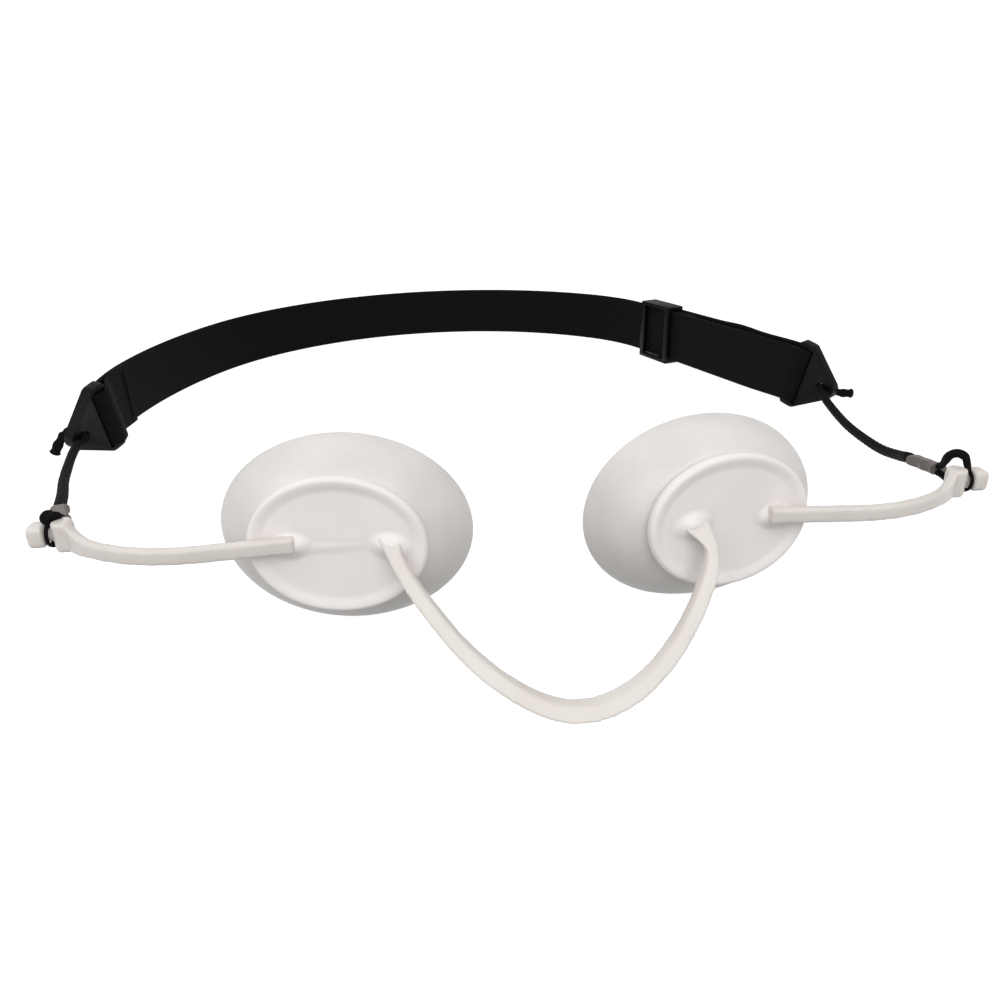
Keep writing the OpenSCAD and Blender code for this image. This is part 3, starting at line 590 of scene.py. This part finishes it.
def finer(points, steps):
    """Points along the smooth curve through a list of points."""
    pts = [Vector(p) for p in points]
    out = []
    for i in range(len(pts) - 1):
        a, b, c = pts[max(0, i - 1)], pts[i], pts[i + 1]
        d = pts[min(len(pts) - 1, i + 2)]
        for k in range(steps):
            f = k / steps
            out.append(0.5 * (2 * b + (c - a) * f + (2 * a - 5 * b + 4 * c - d) * f * f
                              + (3 * b - a - 3 * c + d) * f * f * f))
    out.append(pts[-1])
    return out


def runs_along(points):
    """Length run from the first point to each point."""
    runs = [0.0]
    for a, b in zip(points, points[1:]):
        runs.append(runs[-1] + (b - a).length)
    return runs


def skin(name, rings, uvs):
    """A closed skin over rings of points, with a UV map that counts millimetres."""
    mesh = bpy.data.meshes.new(name)
    count = len(rings[0])
    last = len(rings) - 1
    faces = []
    marks = []
    for k in range(last):
        for i in range(count):
            j = (i + 1) % count
            faces.append((k * count + i, k * count + j, (k + 1) * count + j, (k + 1) * count + i))
            marks.append((uvs(k, i), uvs(k, i + 1), uvs(k + 1, i + 1), uvs(k + 1, i)))
    faces.append(tuple(range(count - 1, -1, -1)))
    marks.append(tuple(uvs(0, i) for i in range(count - 1, -1, -1)))
    faces.append(tuple(last * count + i for i in range(count)))
    marks.append(tuple(uvs(last, i) for i in range(count)))
    mesh.from_pydata([tuple(p * MM) for ring in rings for p in ring], [], faces)
    layer = mesh.uv_layers.new(name="yarn")
    for corner, uv in zip(layer.data, (uv for face in marks for uv in face)):
        corner.uv = uv
    obj = bpy.data.objects.new(name, mesh)
    bpy.context.scene.collection.objects.link(obj)
    activate(obj)
    bpy.ops.object.mode_set(mode="EDIT")
    bpy.ops.mesh.select_all(action="SELECT")
    bpy.ops.mesh.normals_make_consistent(inside=False)
    bpy.ops.object.mode_set(mode="OBJECT")
    return obj


def tube(name, points, radii, sides):
    """A round tube along points, with a radius for each point. The ends are domed."""
    dome = [(0.3, 0.8), (0.45, 0.45)]
    last = len(points) - 1
    normal = None
    rings, runs = [], []
    for k, (p, r, run) in enumerate(zip(points, radii, runs_along(points))):
        ahead = (points[min(k + 1, last)] - points[max(k - 1, 0)]).normalized()
        if normal is None:
            normal = ahead.orthogonal()
        normal = (normal - normal.dot(ahead) * ahead).normalized()
        side = ahead.cross(normal)
        ends = [(0.0, 1.0)]
        if k == 0:
            ends = [(-shift, size) for shift, size in reversed(dome)] + ends
        if k == last:
            ends = ends + dome
        for shift, size in ends:
            rings.append([
                p + ahead * shift * r + r * size * (math.cos(a) * normal + math.sin(a) * side)
                for a in (2 * math.pi * i / sides for i in range(sides))])
            runs.append(run + shift * r)
    round_mm = 2 * math.pi * max(radii)
    return skin(name, rings, lambda k, i: (runs[k], round_mm * i / sides))


def knotted(name, middle, across, up, ahead, size, radius):
    """A stopper knot: one cord in three turns that pass over and under each other."""
    steps = 60
    turns = []
    for k in range(steps + 1):
        b = 2 * math.pi * k / steps
        x = math.sin(b) + 2 * math.sin(2 * b)
        y = math.cos(b) - 2 * math.cos(2 * b)
        turns.append(middle + size * (x * across + y * up - 1.2 * math.sin(3 * b) * ahead))
    return tube(name, turns, [radius] * len(turns), sides=10)


def loop_radii(points, strand_r, side):
    """Radius of a loop's strand at each point: thin over the neck, and swollen where slack."""
    slack_off, slack_y, thin_y = 3.6, -92, -97.6
    radii = []
    for p in points:
        thin = 0.5 * ease((thin_y - p.y) / 1.4)
        swell = 0.0
        if side == RIGHT:
            off_neck = math.hypot(p.y - NECK_Y, p.z - NECK_Z)
            swell = 0.25 * ease((off_neck - slack_off) / 0.8) * ease((slack_y - p.y) / 1.5)
        radii.append(strand_r * (1 + swell) * (1 - thin))
    return radii


def braid_radii(points, cord_r):
    """Radius of a braided cord at each point: its lay gives the outline slow scallops."""
    lay = 2.6
    return [cord_r * (1 + 0.05 * math.sin(2 * math.pi * run / lay))
            for run in runs_along(points)]


def directions(heading):
    """Level directions along a heading in degrees, and across it to the inside of the strap."""
    a = math.radians(heading)
    return Vector((math.cos(a), math.sin(a), 0)), Vector((-math.sin(a), math.cos(a), 0))


def route(s):
    """Place and heading in degrees of a point on the strap's route, at a length from its start."""
    x, y = ROUTE_START
    h = ROUTE_HEADING
    run = min(s, STRAIGHT)
    x += run * math.cos(math.radians(h))
    y += run * math.sin(math.radians(h))
    left = s - run
    for r, angle in ARCS:
        if left <= 0:
            break
        arc = r * math.radians(angle)
        part = left if (r, angle) == ARCS[-1] else min(left, arc)
        a, b = math.radians(h), math.radians(h) + part / r
        x += r * (math.sin(b) - math.sin(a))
        y += r * (math.cos(a) - math.cos(b))
        h += math.degrees(part / r)
        left -= part
    return x, y, h


def tilt(s):
    """Tilt of the strap in degrees, which grows towards both of its ends."""
    return (LEFT_TILT * ease((s - ROUTE_LEN + TILT_LEN) / TILT_LEN)
            - RIGHT_TILT * ease((TILT_LEN - s) / TILT_LEN))


def station(s, inward):
    """Middle, up and inward directions of a layer of the strap, at a length along its route."""
    x, y, h = route(s)
    along, across = directions(h)
    t = math.radians(tilt(s))
    up = Vector((0, 0, math.cos(t))) + math.sin(t) * along
    return Vector((x, y, STRAP_Z)) + inward * across, up, across


def slider_place():
    """Middle of the main run at the slider, and the directions along and across it there."""
    x, y, h = route(SLIDER_AT)
    along, across = directions(h)
    return Vector((x, y, STRAP_Z)), along, across


def half_turn(bar, radius, ahead, across, up, count, face):
    """Stations of a fold: the first few of the 13 that make half a turn round a bar.

    face is 1 where the band's inward side looks away from the bar, and -1 where it looks at it.
    """
    stations = []
    for k in range(count):
        b = math.pi * k / 12
        out = math.sin(b) * ahead - math.cos(b) * across
        stations.append((bar + radius * out, up, face * out))
    return stations


def tipped(level, degrees):
    """A level direction tipped down by an angle."""
    t = math.radians(degrees)
    return math.cos(t) * level - math.sin(t) * UP


def webbing(name, stations, width, thickness):
    """A flat elastic band through stations, with soft edges."""
    half, t = width / 2, thickness / 2
    corner_in, flat_in, steps = 0.3, 0.7, 8
    side_t, corner_t = 0.45 * t, 0.9 * t
    flat = [-half + flat_in + (width - 2 * flat_in) * k / steps for k in range(steps + 1)]
    section = [(-half, -side_t), (-half, side_t), (-half + corner_in, corner_t)]
    section += [(x, t) for x in flat]
    section += [(half - corner_in, corner_t), (half, side_t),
                (half, -side_t), (half - corner_in, -corner_t)]
    section += [(-x, -t) for x in flat]
    section += [(-half + corner_in, -corner_t)]
    rings = [[centre + a * up + b * inward for a, b in section] for centre, up, inward in stations]
    runs = runs_along([centre for centre, up, inward in stations])
    n = len(section)
    return skin(name, rings, lambda k, i: (runs[k], section[i % n][0]))


def zigzag(centre, along, up):
    """The line of a bar tack's thread, from edge to edge of the strap."""
    return [centre + up * (-TACK_HALF + 2 * TACK_HALF * k / STITCHES)
            + along * (STITCH_HALF if k % 2 else -STITCH_HALF) for k in range(STITCHES + 1)]


# Operators, one for each group of pieces


class SHIELD_OT_camera(bpy.types.Operator):
    """Sets the camera where the photograph was taken from"""

    bl_idname = "shield.camera"
    bl_label = "Camera"

    def execute(self, context):
        azimuth, elevation, roll = (math.radians(a) for a in CAMERA_TURN)
        ahead = Vector((math.sin(azimuth) * math.cos(elevation),
                        math.cos(azimuth) * math.cos(elevation), -math.sin(elevation)))
        across = Vector((math.cos(azimuth), -math.sin(azimuth), 0))
        up = across.cross(ahead)
        right = across * math.cos(roll) + up * math.sin(roll)
        top = up * math.cos(roll) - across * math.sin(roll)
        data = bpy.data.cameras.new("camera")
        data.sensor_width = CAMERA_FILM
        data.lens = CAMERA_LENS
        data.clip_start = 0.01
        camera = bpy.data.objects.new("camera", data)
        context.scene.collection.objects.link(camera)
        turn = Matrix((right, top, -ahead)).transposed().to_4x4()
        camera.matrix_world = Matrix.Translation(Vector(CAMERA_AT) * MM) @ turn
        context.scene.camera = camera
        return {"FINISHED"}


class SHIELD_OT_cups(bpy.types.Operator):
    """Adds the two soft eye cups"""

    bl_idname = "shield.cups"
    bl_label = "Eye cups"

    def execute(self, context):
        bulge, wall, land, edge, floor = 0.45, 1.6, 2.4, 0.9, 1.4
        front_in, front_drop, floor_in = 0.6, 0.25, 1.0
        rim_in = edge + land + edge
        quarter = (0, 18, 36, 54, 72)

        def inset(half, by):
            return half[0] - by, half[1] - by

        def ring(side, a, near, far, front_n):
            """One ring of the bowl's curve, from its front (0 degrees) to its rim (90 degrees)."""
            s, c = math.sin(math.radians(a)), math.cos(math.radians(a))
            f = bulge * s + (1 - bulge) * a / 90
            g = bulge * c + (1 - bulge) * (1 - a / 90)
            return (near[0] + (far[0] - near[0]) * f, near[1] + (far[1] - near[1]) * f,
                    edge + (front_n - edge) * g, -side * PLATE_SHIFT[0] * g, PLATE_SHIFT[1] * g)

        for side, word in SIDES:
            # The bowl's outside, with a small round where it meets the plate
            rings = [ring(side, 0, inset(CUP_FRONT_HALF, front_in), RIM_HALF, CUP_DEPTH)]
            for a in range(0, 91, 6):
                drop = front_drop if a == 0 else 0
                rings.append(ring(side, a, CUP_FRONT_HALF, RIM_HALF, CUP_DEPTH - drop))
            # The rounded rim
            for a in quarter:
                c, s = math.cos(math.radians(a + 18)), math.sin(math.radians(a + 18))
                rings.append((*inset(RIM_HALF, edge * (1 - c)), edge * (1 - s), 0, 0))
            for a in quarter:
                c, s = math.cos(math.radians(a)), math.sin(math.radians(a))
                rings.append((*inset(RIM_HALF, rim_in - edge * (1 - s)), edge * (1 - c), 0, 0))
            # The hollow
            near = inset(CUP_FRONT_HALF, wall)
            far = inset(RIM_HALF, rim_in)
            rings += [ring(side, a, near, far, CUP_DEPTH - floor) for a in range(90, 5, -7)]
            rings.append(ring(side, 0, inset(near, floor_in), far, CUP_DEPTH - floor))
            obj = pull_rings(f"{word}_soft_cup", rings, around=120)
            place_on_eye(obj, side)
            settle(obj, "soft_cup", "eye_frame", [f"{word}_eye_cup"], angle=50)
        return {"FINISHED"}


class SHIELD_OT_plates(bpy.types.Operator):
    """Adds the two front plates with their raised lips"""

    bl_idname = "shield.plates"
    bl_label = "Front plates"

    def execute(self, context):
        lip = context.scene.shield_sizes.lip / MM
        round_r = lip / 2
        crown = round_r * 0.75
        slope_end, panel_from, slope_steps = lip + 0.9, lip + 1.6, 12
        # The back is cut in a little, which leaves a fine dark groove between lip and bowl: how
        # far in each ring lies, and its height over the cup's front.
        groove = ((2.6, 0.5), (2.6, 0), (0.9, 0), (0.8, 0.35), (0.35, 0.55), (0.08, 0.8), (0, 1.1))
        for side, word in SIDES:
            def at(inset, n):
                return (PLATE_HALF[0] - inset, PLATE_HALF[1] - inset, n,
                        -side * PLATE_SHIFT[0], PLATE_SHIFT[1])

            rings = [at(inset, CUP_DEPTH + rise) for inset, rise in groove]
            # The lip has a steep outer side and a rounded crown, and runs out into the flat panel
            # in a long slope.
            for a in range(0, 91, 15):
                q = math.radians(a)
                rings.append(at(crown * (1 - math.cos(q)), LIP_TOP - round_r * (1 - math.sin(q))))
            for k in range(1, slope_steps + 1):
                f = k / slope_steps
                rings.append(at(crown + (slope_end - crown) * f, LIP_TOP - PANEL_DROP * ease(f)))
            rings.append(at(panel_from, PANEL_TOP))
            obj = pull_rings(f"{word}_plate", rings, around=120)
            place_on_eye(obj, side)
            settle(obj, "plate_plastic", "eye_frame", [f"{word}_front_plate"], angle=35)
            if side == LEFT:
                # A faint moulded ridge runs across the left plate, from the arm to the bridge.
                ridge = pad("left_plate_ridge", (-1.0, 2.2, PANEL_TOP), (10.0, 1.3, 0.14), 2)
                place_on_eye(ridge, side)
                settle(ridge, "plate_plastic", "eye_frame", [f"{word}_front_plate"], angle=60)
        return {"FINISHED"}


class SHIELD_OT_frame(bpy.types.Operator):
    """Adds the nose bridge and the side arms"""

    bl_idname = "shield.frame"
    bl_label = "Bridge and arms"

    def execute(self, context):
        edge = context.scene.shield_sizes.edge
        for node, passes in (("nose_bridge", 16), ("left_side_arm", 24), ("right_side_arm", 24)):
            obj = melted(node, f"{node}_moulding", edge / 2, passes)
            settle(obj, "frame_plastic", "eye_frame", [node], angle=80)
        # Each root swells into the panel it grows out of.
        for name, node, side, x, z, half, turn in ROOTS:
            root = pad(name, on_panel(side, x - ORIGIN.x, z), half, turn)
            place_on_eye(root, side)
            settle(root, "plate_plastic", "eye_frame", [node], angle=80)
        return {"FINISHED"}


class SHIELD_OT_clips(bpy.types.Operator):
    """Adds the end clips, the slider and the crimp sleeves"""

    bl_idname = "shield.clips"
    bl_label = "Clips and slider"

    def execute(self, context):
        edge = context.scene.shield_sizes.edge
        for node, kind, body, share in (
                ("left_end_clip", "clip_plastic", "left_clip", 1.1),
                ("right_end_clip", "clip_plastic", "right_clip", 1.1),
                ("strap_slider", "clip_plastic", "slider", 0.9),
                ("left_crimp_sleeve", "crimp_grey", "headband", 0.4),
                ("right_crimp_sleeve", "crimp_grey", "headband", 0.4)):
            obj = softened(node, f"{node}_moulding", edge * share)
            settle(obj, kind, body, [node], angle=40)
        return {"FINISHED"}


class SHIELD_OT_inserts(bpy.types.Operator):
    """Gives the blocking inserts behind the plates their metal"""

    bl_idname = "shield.inserts"
    bl_label = "Blocking inserts"

    def execute(self, context):
        for side, word in SIDES:
            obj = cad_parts[f"{word}_blocking_insert"]
            obj.data.materials.clear()
            obj.data.materials.append(material("insert_metal"))
        return {"FINISHED"}


class SHIELD_OT_strap(bpy.types.Operator):
    """Adds the elastic strap, its folds and its sewn end"""

    bl_idname = "shield.strap"
    bl_label = "Head strap"

    def execute(self, context):
        sizes = context.scene.shield_sizes
        width, thickness = sizes.strap_width / MM, sizes.strap_thickness / MM
        # Right fold: half a turn round the bar, from the outer layer to the main run
        bar, up, across = station(0, -BAR_OFFSET)
        back = tipped(-directions(ROUTE_HEADING)[0], RIGHT_TILT)
        stations = half_turn(bar, BAR_OFFSET, back, across, up, count=12, face=1)
        step = 1.5
        count = int(ROUTE_LEN / step)
        stations += [station(ROUTE_LEN * k / count, 0) for k in range(count)]
        # Left fold: half a turn round the bar and back along the inside of the main run
        bar, up, across = station(ROUTE_LEN, BAR_OFFSET)
        ahead = tipped(directions(route(ROUTE_LEN)[2])[0], LEFT_TILT)
        stations += half_turn(bar, BAR_OFFSET, ahead, across, up, count=12, face=-1)
        fold_steps, closing = 20, FOLD_LEN * 0.55
        for k in range(fold_steps + 1):
            s = ROUTE_LEN - FOLD_LEN * k / fold_steps
            f = ease((ROUTE_LEN - s) / closing)
            apart = 2 * BAR_OFFSET * (1 - f) + (thickness + SEWN_GAP) * f
            centre, up, across = station(s, apart)
            stations.append((centre, up, -across))
        obj = webbing("head_webbing", stations, width, thickness)
        settle(obj, "webbing_black", "headband",
               ["head_strap", "left_strap_fold", "right_strap_fold"], angle=60)

        # Adjusting layer from the right fold to the sewn end, on the outside of the main run. It
        # ends a hair short of the sewn end, so that they don't rub as the slider moves.
        start = SLIDER_AT - SEWN_END_LEN
        layer_steps, short_by, sag = 24, 0.06, 0.5
        stations = []
        for k in range(layer_steps + 1):
            f = k / layer_steps
            outward = 2 * BAR_OFFSET * (1 - ease(f)) + OUTER_FLAP_V * ease(f)
            centre, up, across = station((start - short_by) * f, -outward)
            # The slack layer hangs in one slow wave between its held ends.
            wave = math.sin(math.pi * f) ** 4 * math.sin(2.2 * math.pi * f)
            stations.append((centre - sag * wave * UP, up, across))
        obj = webbing("adjusting_webbing", stations, width, thickness)
        settle(obj, "webbing_black", "headband", ["strap_adjusting_layer"], angle=60)
        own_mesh(obj)

        # Sewn end: over the slider's bar and back on itself
        base, along, across = slider_place()
        bend = CENTRE_BAR_R + SEAT_GAP + thickness / 2
        outer, inner = across * OUTER_FLAP_V, across * INNER_FLAP_V
        flap_steps = 8
        stations = [(base + along * (SEWN_END_LEN * (k / flap_steps - 1)) - outer, UP, across)
                    for k in range(flap_steps)]
        bar = base - across * CENTRE_BAR_V
        stations += half_turn(bar, bend, along, across, UP, count=13, face=-1)
        stations += [(base - along * SEWN_END_LEN * k / flap_steps - inner, UP, -across)
                     for k in range(1, flap_steps + 1)]
        obj = webbing("sewn_webbing", stations, width, thickness)
        settle(obj, "webbing_black", "slider", ["strap_sewn_end"], angle=60)
        return {"FINISHED"}


class SHIELD_OT_tacks(bpy.types.Operator):
    """Adds the zigzag bar tacks that hold the sewn layers"""

    bl_idname = "shield.tacks"
    bl_label = "Bar tacks"

    def execute(self, context):
        thickness = context.scene.shield_sizes.strap_thickness / MM
        lift = thickness / 2 + THREAD_RISE
        s = ROUTE_LEN - FOLD_LEN + TACK_FROM_END
        centre, up, across = station(s, thickness + SEWN_GAP + lift)
        line = zigzag(centre, directions(route(s)[2])[0], up)
        obj = tube("left_tack_stitches", line, [THREAD_R] * len(line), sides=6)
        settle(obj, "thread_black", "headband", ["left_bar_tack"], angle=60)
        base, along, across = slider_place()
        centre = base + along * (-SEWN_END_LEN + TACK_FROM_END) - across * (OUTER_FLAP_V + lift)
        line = zigzag(centre, along, UP)
        obj = tube("slider_tack_stitches", line, [THREAD_R] * len(line), sides=6)
        settle(obj, "thread_black", "slider", ["slider_bar_tack"], angle=60)
        return {"FINISHED"}


class SHIELD_OT_cords(bpy.types.Operator):
    """Adds the elastic cords with their end loops and knots"""

    bl_idname = "shield.cords"
    bl_label = "Cords"

    def execute(self, context):
        sizes = context.scene.shield_sizes
        cord_r, strand_r = sizes.cord / MM / 2, sizes.strand / MM / 2
        for side, word, line, loop_line in ((LEFT, "left", LEFT_CORD, LEFT_LOOP),
                                            (RIGHT, "right", RIGHT_CORD, RIGHT_LOOP)):
            clip = f"{word}_clip"
            loop_points = finer(loop_line, 3)
            loop = tube(f"{word}_loop_strand", loop_points,
                        loop_radii(loop_points, strand_r, side), sides=12)
            settle(loop, "cord_black", "headband", [f"{word}_cord_loop"], angle=60)
            if side == LEFT:
                # The left loop is shortened by a small knot that sits on the neck.
                ball = knotted("left_loop_knot", Vector(LOOP_KNOT_AT), Vector((1, 0, 0)), UP,
                               Vector((0, -1, 0)), size=0.38, radius=0.68)
                settle(ball, "cord_black", "headband", [f"{word}_cord_loop"], angle=60)
            middle, tail_from, tail_to = (Vector(p) for p in KNOTS[side])
            inner = (tail_to - tail_from).normalized()
            face = (Vector(line[0]) - Vector(line[1])).normalized()
            flat = (inner - inner.dot(face) * face).normalized()
            up = face.cross(flat)
            knot = knotted(f"{word}_knot_turns", middle, flat, up, face, size=0.5, radius=1.0)
            tail_line = finer([tail_from, (tail_from + tail_to) / 2 + up * 0.3, tail_to], 12)
            # The cut end is swollen and uneven, where the braid has opened.
            tail_radii = [1.2 + 0.14 * math.sin(0.55 * k) + 0.2 * ease((k - 14) / 10)
                          for k in range(len(tail_line))]
            tail = tube(f"{word}_knot_tail", tail_line, tail_radii, sides=14)
            for piece in (knot, tail):
                settle(piece, "cord_black", clip, [f"{word}_cord_knot"], angle=60)
            close = finer(line, 8)
            cord = tube(f"{word}_free_cord", close, braid_radii(close, cord_r), sides=16)
            settle(cord, "cord_black", None, [f"{word}_cord"], angle=60)
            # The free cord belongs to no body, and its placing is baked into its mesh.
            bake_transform(cord)
        return {"FINISHED"}


class SHIELD_OT_stage(bpy.types.Operator):
    """Adds the pale floor, the backdrop and the soft lights"""

    bl_idname = "shield.stage"
    bl_label = "Stage"

    def execute(self, context):
        clear_selection()
        bpy.ops.mesh.primitive_circle_add(vertices=64, radius=6.0, fill_type="NGON")
        floor = bpy.context.object
        floor.name = "floor"
        m = bpy.data.materials.new("Seamless paper")
        m.use_nodes = True
        tree = m.node_tree
        tree.nodes.clear()
        paper = add_node(tree, "ShaderNodeBsdfDiffuse", inputs={"Color": linear("#8c8c8c")})
        seen = seen_by(tree, "Is Camera Ray", "Is Glossy Ray", "Is Transmission Ray")
        lift = add_node(tree, "ShaderNodeMath", settings={"operation": "MULTIPLY"},
                        inputs={0: seen, 1: FLOOR_GLOW})
        glow = add_node(tree, "ShaderNodeEmission", inputs={"Strength": lift.outputs[0]})
        both = add_node(tree, "ShaderNodeAddShader",
                        inputs={0: paper.outputs[0], 1: glow.outputs[0]})
        add_node(tree, "ShaderNodeOutputMaterial", inputs={"Surface": both.outputs[0]})
        floor.data.materials.append(m)
        world = bpy.data.worlds.new("studio")
        context.scene.world = world
        world.use_nodes = True
        tree = world.node_tree
        tree.nodes.clear()
        seen = seen_by(tree, "Is Camera Ray", "Is Transmission Ray")
        strength = add_node(tree, "ShaderNodeMapRange",
                            inputs={"Value": seen, "To Min": SKY_STRENGTH, "To Max": 1.0})
        sky = add_node(tree, "ShaderNodeBackground",
                       inputs={"Color": (1, 1, 1, 1), "Strength": strength.outputs["Result"]})
        add_node(tree, "ShaderNodeOutputWorld", inputs={"Surface": sky.outputs[0]})
        for name, place, power in LAMPS:
            light = bpy.data.lights.new(name, "AREA")
            light.size = LAMP_SIZE
            light.energy = power
            lamp = bpy.data.objects.new(name, light)
            context.scene.collection.objects.link(lamp)
            lamp.location = place
            lamp.rotation_euler = (-Vector(place)).to_track_quat("-Z", "Y").to_euler()
        context.scene.view_settings.view_transform = "Standard"
        return {"FINISHED"}


OPERATORS = (
    SHIELD_OT_camera, SHIELD_OT_clips, SHIELD_OT_cords, SHIELD_OT_cups, SHIELD_OT_plates,
    SHIELD_OT_frame, SHIELD_OT_inserts, SHIELD_OT_strap, SHIELD_OT_tacks, SHIELD_OT_stage)


class SHIELD_PT_panel(bpy.types.Panel):
    """Lists the shield's pieces in the sidebar"""

    bl_idname = "SHIELD_PT_panel"
    bl_label = "Eye shield"
    bl_space_type = "VIEW_3D"
    bl_region_type = "UI"
    bl_category = "Eye shield"

    def draw(self, context):
        for group in (context.scene.shield_sizes, context.scene.shield_colours):
            box = self.layout.box()
            for key in group.__annotations__:
                box.prop(group, key)
        for operator in OPERATORS:
            self.layout.operator(operator.bl_idname)


CLASSES = (ShieldSizes, ShieldColours, *OPERATORS, SHIELD_PT_panel)


def register():
    for c in CLASSES:
        bpy.utils.register_class(c)
    bpy.types.Scene.shield_sizes = PointerProperty(type=ShieldSizes)
    bpy.types.Scene.shield_colours = PointerProperty(type=ShieldColours)


def unregister():
    del bpy.types.Scene.shield_colours
    del bpy.types.Scene.shield_sizes
    for c in reversed(CLASSES):
        bpy.utils.unregister_class(c)


def main():
    register()
    bpy.ops.shield.camera()
    bpy.ops.shield.clips()
    bpy.ops.shield.cords()
    bpy.ops.shield.cups()
    bpy.ops.shield.plates()
    bpy.ops.shield.frame()
    bpy.ops.shield.inserts()
    bpy.ops.shield.strap()
    bpy.ops.shield.tacks()
    bpy.ops.shield.stage()


if __name__ == "__main__":
    main()
